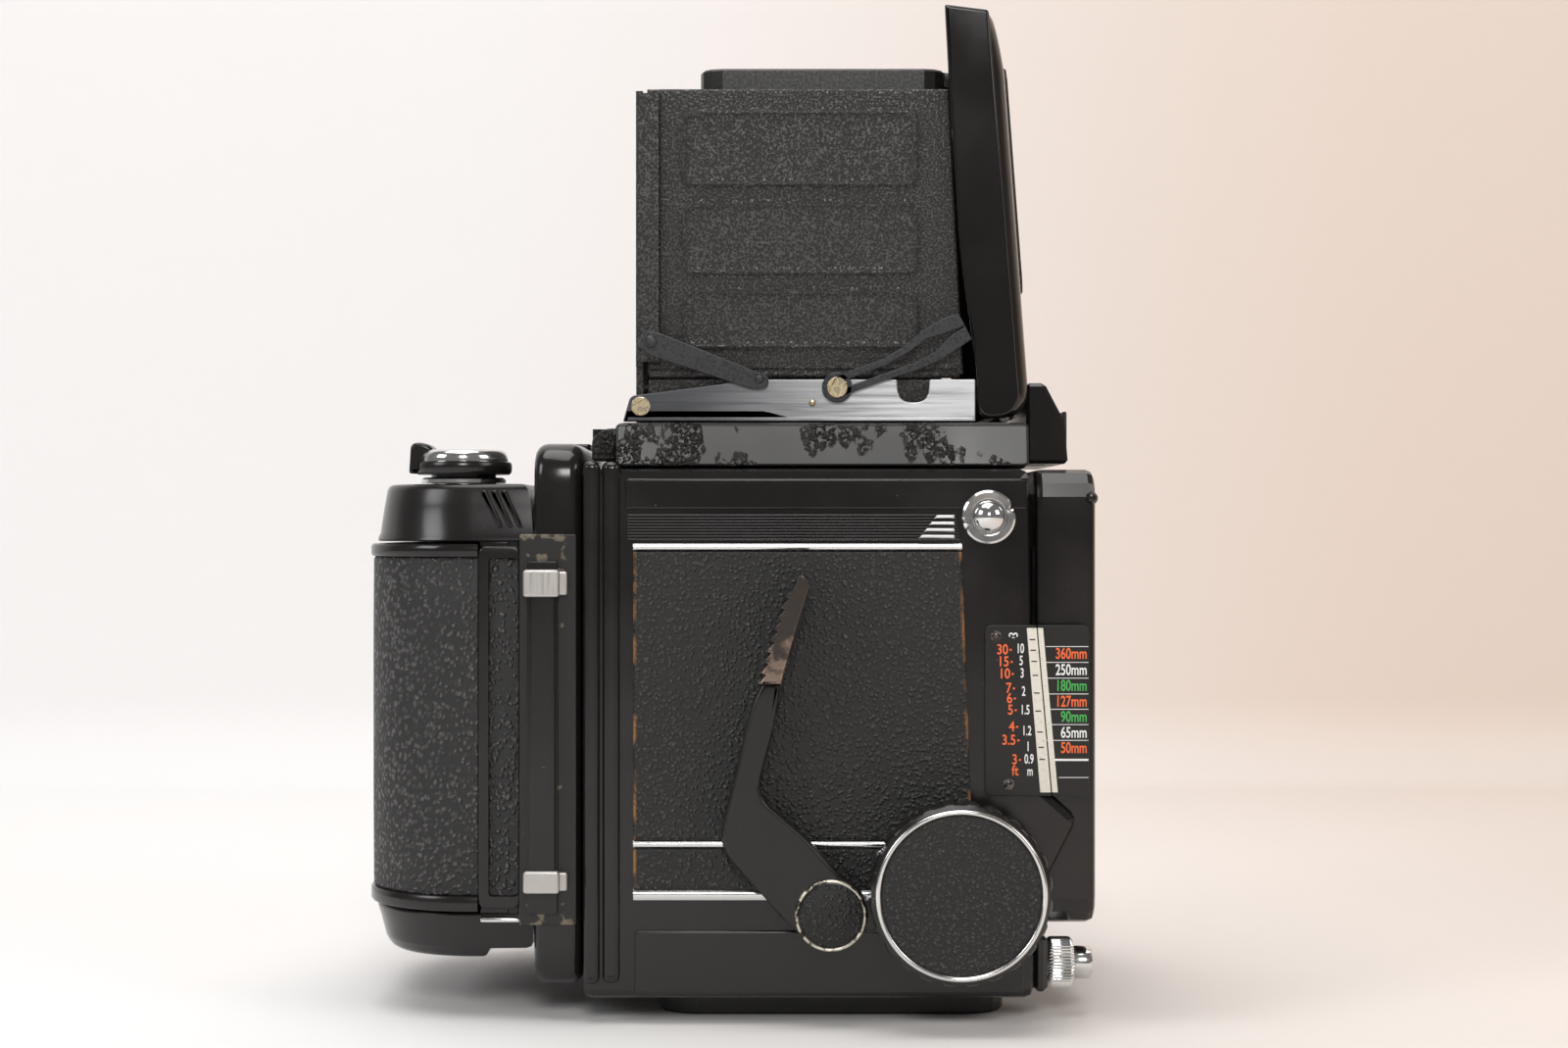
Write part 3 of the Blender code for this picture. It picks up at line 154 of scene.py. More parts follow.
def lacquer(name, colour=(0.009, 0.008, 0.0078), low=0.11, high=0.24,
            worn=0.74):
    """Black lacquer: cloudy gloss, orange peel, and pin-sized bare specks."""
    mat, tree, shader, where = paint(name, colour, low, 0.0, 0.45)
    cloud = grain(tree, where, 45.0, 4.0)
    rough(tree, shader, between(tree, cloud, 0.3, 0.7, low, high))
    speck = between(tree, grain(tree, where, 1300.0, 2.0), worn, worn + 0.05)
    patch = between(tree, grain(tree, where, 60.0, 2.0), 0.45, 0.65)
    bare = times(tree, speck, patch)
    tone = blend_colour(tree, cloud, colour, (0.014, 0.012, 0.0115))
    tint(tree, shader, bare, tone, (0.16, 0.14, 0.12))
    relief(tree, shader, grain(tree, where, 900.0, 2.0), 0.12, 0.00004)
    return mat


def dress(node, mat):
    """Give a carried-over node its finish."""
    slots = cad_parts[node].data.materials
    slots.clear()
    slots.append(mat)


def soft_outline(corners, steps=5):
    """Corners (a, b, cut) rounded off: each becomes the curve
    (1-t)^2 A + 2t(1-t) P + t^2 B between points a cut away on its sides."""
    c = np.array(corners, float)
    p, cut = c[:, :2], c[:, 2:]
    back, ahead = np.roll(p, 1, 0) - p, np.roll(p, -1, 0) - p
    back /= np.linalg.norm(back, axis=1, keepdims=True)
    ahead /= np.linalg.norm(ahead, axis=1, keepdims=True)
    t = np.linspace(0.0, 1.0, steps + 1)[None, :, None]
    first, last = (p + back * cut)[:, None], (p + ahead * cut)[:, None]
    curve = (1 - t) ** 2 * first + 2 * t * (1 - t) * p[:, None] + t ** 2 * last
    return curve.reshape(-1, 2)


def box_outline(a0, a1, b0, b1, cut, steps=5):
    """Rounded rectangle outline."""
    return soft_outline([(a0, b0, cut), (a1, b0, cut), (a1, b1, cut),
                         (a0, b1, cut)], steps)


def outward(loop):
    """Unit normals pointing out of a closed outline."""
    run = np.roll(loop, -1, 0) - np.roll(loop, 1, 0)
    run /= np.linalg.norm(run, axis=1, keepdims=True) + 1e-12
    nxt = np.roll(loop, -1, 0)
    area = np.sum(loop[:, 0] * nxt[:, 1] - nxt[:, 0] * loop[:, 1])
    return np.stack([run[:, 1], -run[:, 0]], 1) * np.sign(area)


def in_space(flat, depth, across):
    """Outline points (a, b) with a depth along the axis they lie across."""
    a, b = flat[..., 0], flat[..., 1]
    d = np.broadcast_to(depth, a.shape)
    order = {"X": (d, a, b), "Y": (a, d, b), "Z": (a, b, d)}[across]
    return np.stack(order, -1)


def strips(rows, columns, closed_rows=False, closed_columns=True):
    """Quads joining a grid of rows; either way may close on itself."""
    r = np.arange(rows if closed_rows else rows - 1)
    c = np.arange(columns if closed_columns else columns - 1)
    r0, c0 = np.meshgrid(r, c, indexing="ij")
    r1, c1 = (r0 + 1) % rows, (c0 + 1) % columns
    quads = np.stack([r0 * columns + c0, r0 * columns + c1,
                      r1 * columns + c1, r1 * columns + c0], -1)
    return quads.reshape(-1, 4).tolist()


def plate(loop, near, far, soft, across="Y", steps=3):
    """An outline carried from near to far. At each end it shrinks by
    soft*(1-sin u) while it advances by soft*(1-cos u), a round edge; one
    more row just inside it keeps the flat face's shading flat."""
    u = np.linspace(0.0, math.pi / 2, steps + 1)
    inset, rise = soft * (1 - np.sin(u)), soft * (1 - np.cos(u))
    inset = np.concatenate([[soft * 1.08], inset])
    rise = np.concatenate([[0.0], rise])
    way = np.sign(far - near)
    depth = np.concatenate([near + way * rise, (far - way * rise)[::-1]])
    inset = np.concatenate([inset, inset[::-1]])
    flat = loop[None] - outward(loop)[None] * inset[:, None, None]
    points = in_space(flat, depth[:, None], across).reshape(-1, 3)
    n, rows = len(loop), len(depth)
    faces = strips(rows, n)
    face = mathutils.geometry.tessellate_polygon(
        [[(a, b, 0.0) for a, b in flat[0].tolist()]])
    faces += [list(f) for f in face]
    faces += [[i + (rows - 1) * n for i in f] for f in face]
    return points, faces


def turned(profile, centre, axis="Y", steps=72, wave=None):
    """A profile of (radius, height) spun round an axis through centre:
    point = centre + r cos t, r sin t; wave(t, row) scales the radius."""
    p = np.array(profile, float)
    t = np.linspace(0.0, 2 * math.pi, steps, endpoint=False)
    scale = np.ones((len(p), steps))
    if wave is not None:
        scale = wave(t[None, :], np.arange(len(p))[:, None]) + 0 * scale
    ring = np.stack([np.cos(t), np.sin(t)], -1)
    flat = p[:, None, :1] * scale[..., None] * ring[None]
    height = np.broadcast_to(p[:, 1:2], flat.shape[:2])
    points = in_space(flat, height, axis) + np.array(centre)
    rows = len(p)
    faces = strips(rows, steps)
    for row in (0, rows - 1):
        if p[row, 0] > 0:
            faces.append(list(range(row * steps, (row + 1) * steps)))
    return points.reshape(-1, 3), faces


def ring_of(profile, centre, axis="Y", steps=72, wave=None):
    """A closed section of (radius, height) points spun into a ring."""
    points, _ = turned(profile, centre, axis, steps, wave)
    return points, strips(len(profile), steps, closed_rows=True)


def two_sided(outer, inner):
    """Two grids of the same shape joined along their rims into a wall."""
    m, n = outer.shape[:2]
    points = np.concatenate([outer.reshape(-1, 3), inner.reshape(-1, 3)])
    front = np.array(strips(m, n, False, False))
    index = np.arange(m * n).reshape(m, n)
    rim = np.concatenate([index[0, :-1], index[:-1, -1], index[-1, :0:-1],
                          index[:0:-1, 0]])
    nxt = np.roll(rim, -1)
    side = np.stack([rim, nxt, nxt + m * n, rim + m * n], 1)
    faces = front.tolist() + (front[:, ::-1] + m * n).tolist()
    return points, faces + side.tolist()


def joined(*shapes):
    """Several closed shapes as one mesh."""
    points = [np.asarray(s[0], float) for s in shapes]
    starts = np.cumsum([0] + [len(p) for p in points])
    faces = [[i + start for i in face]
             for start, shape in zip(starts, shapes) for face in shape[1]]
    return np.concatenate(points), faces


def piece(name, shape, body, mat, stands_for=(), sharp=38.0):
    """A finished object on a body, with its normals out and smooth curves."""
    points, faces = shape
    mesh = bpy.data.meshes.new(name)
    mesh.from_pydata((np.asarray(points) * MM).tolist(), [], faces)
    bm = bmesh.new()
    bm.from_mesh(mesh)
    bmesh.ops.remove_doubles(bm, verts=bm.verts, dist=0.0000005)
    bmesh.ops.recalc_face_normals(bm, faces=bm.faces)
    bm.to_mesh(mesh)
    bm.free()
    mesh.polygons.foreach_set("use_smooth", [True] * len(mesh.polygons))
    mesh.set_sharp_from_angle(angle=math.radians(sharp))
    obj = bpy.data.objects.new(name, mesh)
    bpy.context.scene.collection.objects.link(obj)
    mesh.materials.append(mat)
    if body:
        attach(obj, body)
    if stands_for:
        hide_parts(*stands_for)
    return obj


BODY_LACQUER = lacquer("body_lacquer")
dress("body_shell", BODY_LACQUER)
dress("release_housing", BODY_LACQUER)
post = joined(
    plate(box_outline(-31.2, -27.5, 8.8, 121.6, 1.8), RIGHT + 1.7,
          RIGHT - 1.3, 1.5, steps=5),
    plate(box_outline(-27.2, -23.0, 8.8, 121.6, 2.0), RIGHT + 1.9,
          RIGHT - 0.9, 1.7, steps=5))
piece("rear_post_right", post, "camera_body", BODY_LACQUER)
post_left = (post[0] * np.array([1, -1, 1]), post[1])
piece("rear_post_left", post_left, "camera_body", BODY_LACQUER)
lower_panel = plate(box_outline(-20.0, 64.0, 6.6, 20.4, 0.8), RIGHT + 0.5,
                    RIGHT - 0.7, 0.5)
piece("lower_side_panel", lower_panel, "camera_body", BODY_LACQUER)
top_band = plate(soft_outline([(-22.0, 111.2, 0.5), (64.4, 111.2, 0.5),
                               (64.2, 117.8, 0.8), (-22.0, 117.8, 0.8)]),
                 RIGHT + 0.5, RIGHT - 0.45, 0.4)
piece("upper_side_band", top_band, "camera_body", BODY_LACQUER)

# ---------------------------------------------------------------------------
# Leather coverings. Pebbled black leatherette, glued to the side walls in a
# shallow bed; old amber glue shows as a broken line along the cut edges.

LEATHER_Y = (RIGHT - 0.05, RIGHT - 0.95)


def pebbled(name, cell=900.0, depth=0.0003, colour=(0.03, 0.0285, 0.0275),
            edges=None):
    """Leatherette: rounded cells, smaller wrinkles in them, glossy crowns,
    valleys coloured darker than the crowns as painted shade, and amber glue
    close to the given edge lines x = start + slope * z."""
    mat, tree, shader, where = paint(name, colour, 0.5, 0.0, 0.55)
    bend = tree.nodes.new("ShaderNodeVectorMath")
    bend.operation = "MULTIPLY_ADD"
    wobble = tree.nodes.new("ShaderNodeTexNoise")
    wobble.inputs["Scale"].default_value = cell * 0.5
    tree.links.new(where, wobble.inputs["Vector"])
    tree.links.new(wobble.outputs["Color"], bend.inputs[0])
    bend.inputs[1].default_value = (0.0012, 0.0012, 0.0012)
    tree.links.new(where, bend.inputs[2])
    cells = tree.nodes.new("ShaderNodeTexVoronoi")
    cells.feature = "SMOOTH_F1"
    cells.inputs["Scale"].default_value = cell
    cells.inputs["Smoothness"].default_value = 0.35
    tree.links.new(bend.outputs["Vector"], cells.inputs["Vector"])
    crown = between(tree, cells.outputs["Distance"], 0.58, 0.1)
    fine = grain(tree, where, cell * 2.6, 3.0)
    height = times(tree, crown, times(tree, fine, 0.18), "ADD")
    relief(tree, shader, height, 1.0, depth)
    rough(tree, shader, between(tree, crown, 0.2, 1.0, 0.58, 0.19))
    # Painted shade: the hollows between the cells are coloured darker than the
    # crowns.
    tone = blend_colour(tree, crown, tuple(c * 0.12 for c in colour), colour)
    for start, slope, sign in edges or ():
        lean = times(tree, along(tree, where, "Z"), slope)
        off = times(tree, times(tree, along(tree, where, "X"), lean,
                                "SUBTRACT"), start, "SUBTRACT")
        near = between(tree, times(tree, off, sign), 0.0009, 0.0002)
        broken = between(tree, grain(tree, where, 160.0, 2.0), 0.42, 0.6)
        tone = blend_colour(tree, times(tree, near, broken), tone,
                            (0.3, 0.13, 0.03))
    tree.links.new(tone, shader.inputs["Base Color"])
    return mat


PANEL_SLOPE = -2.3 / 62.1
panel_edge = 0.0528 - PANEL_SLOPE * 0.0399
BODY_LEATHER = pebbled("side_leather", 1000.0, 0.0003,
                       edges=((-0.0203, 0.0, 1.0),
                              (panel_edge, PANEL_SLOPE, -1.0)))
panel = soft_outline([(-20.3, 39.9, 0.3), (52.8, 39.9, 0.3),
                      (50.5, 102.0, 0.3), (-20.3, 102.0, 0.3)], 3)
piece("right_leather_cover", plate(panel, *LEATHER_Y, 0.35), "camera_body",
      BODY_LEATHER, ["right_leather"])
piece("left_leather_cover", plate(panel, -LEATHER_Y[0], -LEATHER_Y[1], 0.35),
      "camera_body", BODY_LEATHER, ["left_leather"])
strip = plate(box_outline(-20.3, 40.8, 29.5, 37.9, 0.3, 3), *LEATHER_Y, 0.3)
piece("lower_leather_strip", strip, "camera_body", BODY_LEATHER)

# ---------------------------------------------------------------------------
# Bright trims and the ribbed strip. Chromed brass strips with a low crown,
# pitted here and there, and a black strip rolled with fine ribs, plain but
# for four bright steps at its front end.


def chrome(name, colour=(0.74, 0.74, 0.73), roughness=0.1, pits=0.72):
    """Polished plating with faint clouding and small dark pits."""
    mat, tree, shader, where = paint(name, colour, roughness, 1.0)
    cloud = grain(tree, where, 120.0, 4.0)
    rough(tree, shader, between(tree, cloud, 0.3, 0.75, roughness,
                                roughness + 0.14))
    pit = between(tree, grain(tree, where, 1500.0, 2.0), pits, pits + 0.04)
    tint(tree, shader, pit, colour, (0.16, 0.13, 0.1))
    relief(tree, shader, cloud, 0.1, 0.00003)
    return mat


TRIM_CHROME = chrome("trim_chrome")


def crowned_bar(x0, x1, z0, z1, proud, lean=0.0):
    """A strip whose face rises by proud * (1 - w^2) across its width w, its
    front end cut to a lean."""
    w = np.linspace(-1.0, 1.0, 9)[:, None]
    s = np.linspace(0.0, 1.0, 24)[None, :]
    z = (z0 + z1) / 2 + w * (z1 - z0) / 2 + 0 * s
    x = x0 + s * (x1 + lean * (w + 1) / 2 - x0)
    front = np.stack([x, RIGHT - 0.35 - proud * (1 - w ** 2) + 0 * s, z], -1)
    rear = np.stack([x, RIGHT + 0.1 + 0 * x, z], -1)
    return two_sided(front, rear)


piece("upper_trim", crowned_bar(-20.3, 50.6, 102.2, 103.9, 0.6, -0.1),
      "camera_body", TRIM_CHROME, ["right_trim_upper"])
piece("middle_trim", crowned_bar(-20.3, 52.6, 38.1, 39.8, 0.5),
      "camera_body", TRIM_CHROME)
piece("lower_trim", crowned_bar(-20.3, 41.0, 26.9, 29.2, 0.5),
      "camera_body", TRIM_CHROME, ["right_trim_lower"])

RIBS = 9
rib_w = np.linspace(0.0, 1.0, RIBS * 8 + 1)[:, None]
rib_s = np.linspace(0.0, 1.0, 5)[None, :]
rib_x = -21.5 + rib_s * (49.8 + 0.3 - 0.9 * rib_w + 21.5)
rib_y = RIGHT - 0.35 - 0.3 * np.abs(np.sin(math.pi * RIBS * rib_w)) + 0 * rib_s
rib_z = 104.4 + 5.8 * rib_w + 0 * rib_s
ribbed = two_sided(np.stack([rib_x, rib_y, rib_z], -1),
                   np.stack([rib_x, RIGHT + 0.1 + 0 * rib_x, rib_z], -1))
STRIP_BLACK = lacquer("strip_black", low=0.25, high=0.35)
piece("ribbed_strip", ribbed, "camera_body", STRIP_BLACK,
      ["right_ribbed_strip"], 60.0)


steps = []
for k in range(4):
    z = 104.9 + 1.42 * k
    steps.append(plate(soft_outline([(41.2 + 1.1 * k, z, 0.1),
                                     (49.0, z, 0.1), (48.9, z + 0.75, 0.1),
                                     (41.9 + 1.1 * k, z + 0.75, 0.1)], 2),
                       RIGHT, RIGHT - 0.85, 0.15))
piece("strip_steps", joined(*steps), "camera_body",
      chrome("step_chrome", (0.85, 0.85, 0.84), 0.32))

# ---------------------------------------------------------------------------
# Strap lugs. Turned, chromed studs with a domed nose; the flange has two
# notches for the strap clip's jaws.


def lug(side):
    """Flange, waist and dome spun round Y; notches bite the flange rim."""
    foot = 49.3 * side

    def notch(t, row):
        gap = np.exp(-((np.mod(t + 0.5, math.pi) - 0.85) / 0.16) ** 2)
        return 1.0 - 0.16 * gap * (row >= 8) * (row <= 10)

    rise = (4.1, 4.0, 3.6, 2.9, 2.2, 1.0, 1.0, 1.8, 1.85, 1.5, 0.3, 0.0)
    radii = (0.0, 0.7, 1.8, 2.8, 3.3, 3.45, 3.9, 4.05, 5.3, 5.75, 5.75, 5.6)
    profile = [(r, foot + side * h) for r, h in zip(radii, rise)]
    return turned(profile, (56.3, 0.0, 109.5), "Y", 120, notch)


LUG_CHROME = chrome("lug_chrome", roughness=0.07)
piece("right_lug", lug(-1), "camera_body", LUG_CHROME, ["right_strap_lug"])
piece("left_lug", lug(1), "camera_body", LUG_CHROME, ["left_strap_lug"])

# ---------------------------------------------------------------------------
# Distance scales. Enamelled plates with silk-screened numbers: the distance
# plate stays on the body and the lens plate slides forward past it, with a
# white slanting index band between them.

SCALE_Y = RIGHT - 0.9
ORANGE, WHITE = (0.95, 0.16, 0.04), (0.9, 0.9, 0.88)
GREEN = (0.06, 0.45, 0.09)


def ink(name, colour):
    """Screened ink: slightly uneven cover."""
    mat, tree, shader, where = paint(name, colour, 0.5)
    patch = between(tree, grain(tree, where, 1800.0, 3.0), 0.25, 0.45)
    tint(tree, shader, patch, tuple(c * 0.75 for c in colour), colour)
    return mat


def numerals(words, size, x, z, y, align="CENTER", squeeze=0.82):
    """Characters from the plain built-in type, stood up on the XZ plane."""
    curve = bpy.data.curves.new("type", "FONT")
    curve.body = words
    curve.size = size
    curve.align_x = align
    curve.align_y = "CENTER"
    curve.extrude = 0.03
    curve.offset = 0.014 * size
    obj = bpy.data.objects.new("type", curve)
    bpy.context.scene.collection.objects.link(obj)
    bpy.context.view_layer.update()
    flat = obj.evaluated_get(bpy.context.evaluated_depsgraph_get()).to_mesh()
    co = np.zeros(len(flat.vertices) * 3)
    flat.vertices.foreach_get("co", co)
    co = co.reshape(-1, 3)
    faces = [list(p.vertices) for p in flat.polygons]
    points = np.stack([x + co[:, 0] * squeeze, y - co[:, 2], z + co[:, 1]], 1)
    bpy.data.objects.remove(obj)
    bpy.data.curves.remove(curve)
    return points, faces


def mark(x0, x1, z, tall, y=SCALE_Y):
    """A short printed bar."""
    return plate(box_outline(x0, x1, z - tall / 2, z + tall / 2,
                             min(tall, x1 - x0) * 0.1, 1), y, y - 0.03, 0.005,
                 steps=1)


ENAMEL = lacquer("scale_enamel_black", low=0.3, high=0.4)
SCALE_LOW, SCALE_TOP = 49.4, 86.2
fixed = soft_outline([(55.5, SCALE_LOW, 1.4), (69.8, SCALE_LOW, 0.2),
                      (66.6, SCALE_TOP, 0.2), (55.5, SCALE_TOP, 1.4)], 4)
piece("distance_plate", plate(fixed, RIGHT - 0.1, SCALE_Y, 0.15),
      "camera_body", ENAMEL, ["distance_scale"])
moving = soft_outline([(70.0, SCALE_LOW, 0.2), (77.9, SCALE_LOW, 1.4),
                       (77.9, SCALE_TOP, 1.4), (66.8, SCALE_TOP, 0.2)], 4)
carrier = plate(box_outline(72.0, 77.4, 55.4, 85.2, 0.5, 3), -46.1,
                RIGHT - 0.5, 0.2)
piece("lens_plate", joined(plate(moving, RIGHT - 0.1, SCALE_Y, 0.15),
                           carrier), "front_standard", ENAMEL,
      ["lens_scale"])
band = soft_outline([(67.4, 50.2, 0.1), (69.7, 50.2, 0.1), (66.6, 85.6, 0.1),
                     (64.5, 85.6, 0.1)], 2)
INDEX_WHITE = ink("index_white", (0.78, 0.75, 0.66))
piece("index_band", plate(band, SCALE_Y + 0.02, SCALE_Y - 0.04, 0.01),
      "camera_body", INDEX_WHITE)
band_front = soft_outline([(69.98, 50.2, 0.1), (71.2, 50.2, 0.1),
                           (68.0, 85.6, 0.1), (66.86, 85.6, 0.1)], 2)
piece("index_band_front", plate(band_front, SCALE_Y + 0.02, SCALE_Y - 0.04,
                                0.01), "front_standard", INDEX_WHITE)
INKS = {"orange": ink("ink_orange", ORANGE), "white": ink("ink_white", WHITE),
        "green": ink("ink_green", GREEN)}
feet = [("30", 80.9), ("15", 78.3), ("10", 75.7), ("7", 72.6), ("6", 70.4),
        ("5", 67.9), ("4", 64.3), ("3.5", 61.4), ("3", 57.2), ("ft", 54.8)]
metres = [("10", 81.1), ("5", 78.5), ("3", 75.8), ("2", 71.9), ("1.5", 67.9),
          ("1.2", 63.4), ("1", 60.0), ("0.9", 57.3), ("m", 54.7)]
rows = [("360mm", 80.0, "orange"), ("250mm", 76.5, "white"),
        ("180mm", 73.1, "green"), ("127mm", 69.7, "orange"),
        ("90mm", 66.4, "green"), ("65mm", 63.0, "white"),
        ("50mm", 59.7, "orange")]
red = [numerals(t, 3.05, 60.5 + (81.0 - z) * 0.085, z, SCALE_Y, "RIGHT")
       for t, z in feet]
red += [mark(60.8 + (81.0 - z) * 0.085, 61.25 + (81.0 - z) * 0.085, z, 0.4)
        for _, z in feet[:-1]]
piece("feet_numbers", joined(*red), "camera_body", INKS["orange"])
pale = [numerals(t, 2.9, 63.1 + (81.0 - z) * 0.08, z, SCALE_Y, "CENTER",
                 0.58) for t, z in metres]
pale.append(numerals("∞", 2.8, 61.6, 84.0, SCALE_Y, "CENTER"))
piece("metre_numbers", joined(*pale), "camera_body", INKS["white"])
for tone in ("orange", "white", "green"):
    words = [numerals(t, 3.3, 77.5, z, SCALE_Y, "RIGHT", 0.68)
             for t, z, c in rows if c == tone]
    if tone == "white":
        words += [mark(68.6, 77.8, z, 0.14)
                  for z in (81.6, 78.2, 74.8, 71.4, 68.1, 64.8, 61.4)]
        words += [mark(70.4, 77.8, 57.2, 0.45), mark(71.4, 77.8, 53.4, 0.14)]
    piece("lens_rows_" + tone, joined(*words), "front_standard", INKS[tone])
ticks = []
for z in (83.1, 80.8, 78.4, 75.4, 71.6, 67.7, 63.2, 59.9, 57.3):
    start = 64.6 + (85.6 - z) * 2.9 / 35.4
    ticks.append(mark(start + 0.3, start + 1.5, z, 0.28, SCALE_Y - 0.03))
INK_BLACK = ink("ink_black", (0.01, 0.01, 0.01))
piece("index_ticks", joined(*ticks), "camera_body", INK_BLACK)
RIVET = lacquer("worn_rivet", (0.03, 0.022, 0.018), worn=0.5)
rivets = [turned([(0.0, SCALE_Y - 0.5), (0.7, SCALE_Y - 0.4),
                  (1.2, SCALE_Y - 0.1), (1.25, SCALE_Y + 0.1)],
                 (x, 0.0, z), "Y", 24) for x, z in ((57.9, 83.8),
                                                    (60.6, 51.9))]
piece("scale_rivets", joined(*rivets), "camera_body", RIVET)

# ---------------------------------------------------------------------------
# Base plate, tripod bush and rear foot. A pressed black plate screwed under
# the body, and a turned steel bush that takes the tripod screw.


def satin(name, colour, roughness=0.42, metallic=0.0, lines=(1, 1, 1)):
    """Satin metal or paint with a fine drawn or rolled grain."""
    mat, tree, shader, where = paint(name, colour, roughness, metallic)
    streak = grain(tree, where, 1600.0, 3.0, lines)
    cloud = grain(tree, where, 90.0, 3.0)
    rough(tree, shader, between(tree, streak, 0.2, 0.8, roughness - 0.1,
                                roughness + 0.12))
    tint(tree, shader, cloud, tuple(c * 0.7 for c in colour), colour)
    relief(tree, shader, streak, 0.22, 0.00004)
    return mat


PRESSED_BLACK = satin("pressed_black", (0.016, 0.015, 0.014), 0.45)
TURNED_STEEL = satin("turned_steel", (0.5, 0.49, 0.47), 0.3, 1.0,
                     (1, 1, 0.1))
dress("base_plate", PRESSED_BLACK)
dress("tripod_bush", TURNED_STEEL)
pads = [plate(box_outline(x0, x1, -31.0, 31.0, 2.0), 0.6, 0.05, 0.2, "Z")
        for x0, x1 in ((-10.0, 8.0), (36.0, 55.0))]
piece("base_pads", joined(*pads), "camera_body",
      pebbled("base_rubber", 1500.0, 0.0001, (0.02, 0.02, 0.02)))

# ---------------------------------------------------------------------------
# Light path. Matt black inside paint, a ground glass with a fine ruled grid,
# and a front-silvered mirror in its tray.

INSIDE_BLACK = satin("inside_black", (0.008, 0.008, 0.008), 0.8)
dress("mirror_box", INSIDE_BLACK)
dress("mirror_frame", INSIDE_BLACK)
silver, tree, shader, where = paint("mirror_silvering", (0.86, 0.87, 0.88),
                                    0.03, 1.0)
haze = grain(tree, where, 70.0, 4.0)
rough(tree, shader, between(tree, haze, 0.4, 0.8, 0.02, 0.1))
dress("mirror_glass", silver)
screen, tree, shader, where = paint("ground_screen", (0.3, 0.31, 0.3), 0.55)
GRID = 0.012                    # pitch of the ruled lines, metres
lines = None
for axis, offset in (("X", 0.0), ("Y", GRID / 2)):
    shifted = times(tree, along(tree, where, axis), offset, "ADD")
    cell = times(tree, shifted, 1.0 / GRID)
    wave = times(tree, times(tree, times(tree, cell, 1.0, "FRACT"), 0.5,
                             "SUBTRACT"), 1.0, "ABSOLUTE")
    line = between(tree, wave, 0.485, 0.497)
    lines = line if lines is None else times(tree, lines, line, "MAXIMUM")
frost = blend_colour(tree, grain(tree, where, 4000.0, 2.0),
                     (0.26, 0.27, 0.26), (0.38, 0.39, 0.38))
tint(tree, shader, lines, frost, (0.03, 0.03, 0.03))
relief(tree, shader, grain(tree, where, 5000.0, 2.0), 0.3, 0.00002)
dress("focusing_screen", screen)

# ---------------------------------------------------------------------------
# Bellows. Folded black cloth on a square frame: its half width swings between
# fold and ridge as it runs forward. On the camera it stretches with the slide;
# here it is built at one length.

AXIS_Z = 66.6                   # height of the lens axis
FOLDS, FOLD_DEEP, CLOTH = 6, 4.0, 0.7
s = np.linspace(0.0, 1.0, FOLDS * 8 + 1)
saw = np.abs(np.mod(s * FOLDS, 1.0) * 2 - 1)
ring = box_outline(-36.0, 36.0, AXIS_Z - 36.0, AXIS_Z + 36.0, 4.0, 6)
fold = (FOLD_DEEP * (1 - saw))[:, None, None]
length = (54.4 + s * 12.0)[:, None]
outer = in_space(ring - outward(ring) * fold, length, "X")
inner = in_space(ring - outward(ring) * (fold + CLOTH), length, "X")
tube = np.concatenate([outer, inner[::-1]])
cloth, tree, shader, where = paint("bellows_fabric", (0.012, 0.012, 0.012),
                                   0.8)
shader.inputs["Sheen Weight"].default_value = 0.15
weave = grain(tree, where, 2600.0, 2.0)
relief(tree, shader, weave, 0.4, 0.00008)
tint(tree, shader, weave, (0.008, 0.008, 0.008), (0.02, 0.02, 0.019))
bellows = piece("pleated_bellows",
                (tube.reshape(-1, 3), strips(len(tube), len(ring), True)),
                None, cloth, ["bellows"], 60.0)
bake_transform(bellows)

# ---------------------------------------------------------------------------
# Front standard and lens mount. A lacquered casting that slides on two racks,
# with a chromed bayonet ring whose inner lip has three slots.

FRONT_LACQUER = lacquer("front_lacquer")
dress("front_standard", FRONT_LACQUER)


section = [(31.2, 78.2), (31.2, 77.5), (39.9, 77.5), (39.9, 79.9),
           (39.4, 80.5), (36.2, 80.5), (35.8, 80.1), (34.0, 80.1),
           (33.6, 79.2), (31.2, 79.2)]
MOUNT_CHROME = chrome("mount_chrome", roughness=0.14)
piece("bayonet_ring", ring_of(section, (0.0, 0.0, AXIS_Z), "X", 144),
      "front_standard", MOUNT_CHROME, ["lens_mount_ring"])
TAB_STEPS = 24
r = np.array([[29.8, 29.8, 31.5, 31.5]])
h = np.array([[78.6, 77.7, 77.7, 78.6]])
last = 4 * (TAB_STEPS - 1)
caps = [[0, 1, 2, 3], [last, last + 3, last + 2, last + 1]]
arcs = []
for k in range(3):
    t = np.linspace(-0.62, 0.62, TAB_STEPS)[:, None] + k * 2 * math.pi / 3
    t = t + 0.5
    tab = np.stack([h + 0 * t, r * np.cos(t), AXIS_Z + r * np.sin(t)], -1)
    arcs.append((tab.reshape(-1, 3), strips(TAB_STEPS, 4) + caps))
piece("bayonet_tabs", joined(*arcs), "front_standard", MOUNT_CHROME)
bump_stop = turned([(0.0, -47.2), (0.8, -47.0), (1.3, -46.3), (1.4, -45.6)],
                   (79.0, 0.0, 113.6), "Y", 28)
piece("standard_stop", bump_stop, "front_standard", FRONT_LACQUER)

# ---------------------------------------------------------------------------
# Focus shaft and knobs. Each knob is a black disc with a scalloped grip rim,
# a chromed ring let into its face and a leather disc inside the ring.

dress("focus_shaft", TURNED_STEEL)
KNOB = (49.4, 0.0, 30.1)
KNOB_BLACK = lacquer("knob_black", low=0.18, high=0.3, worn=0.7)
KNOB_LEATHER = pebbled("knob_leather", 1100.0, 0.00028)
RING_CHROME = chrome("ring_chrome", roughness=0.1)


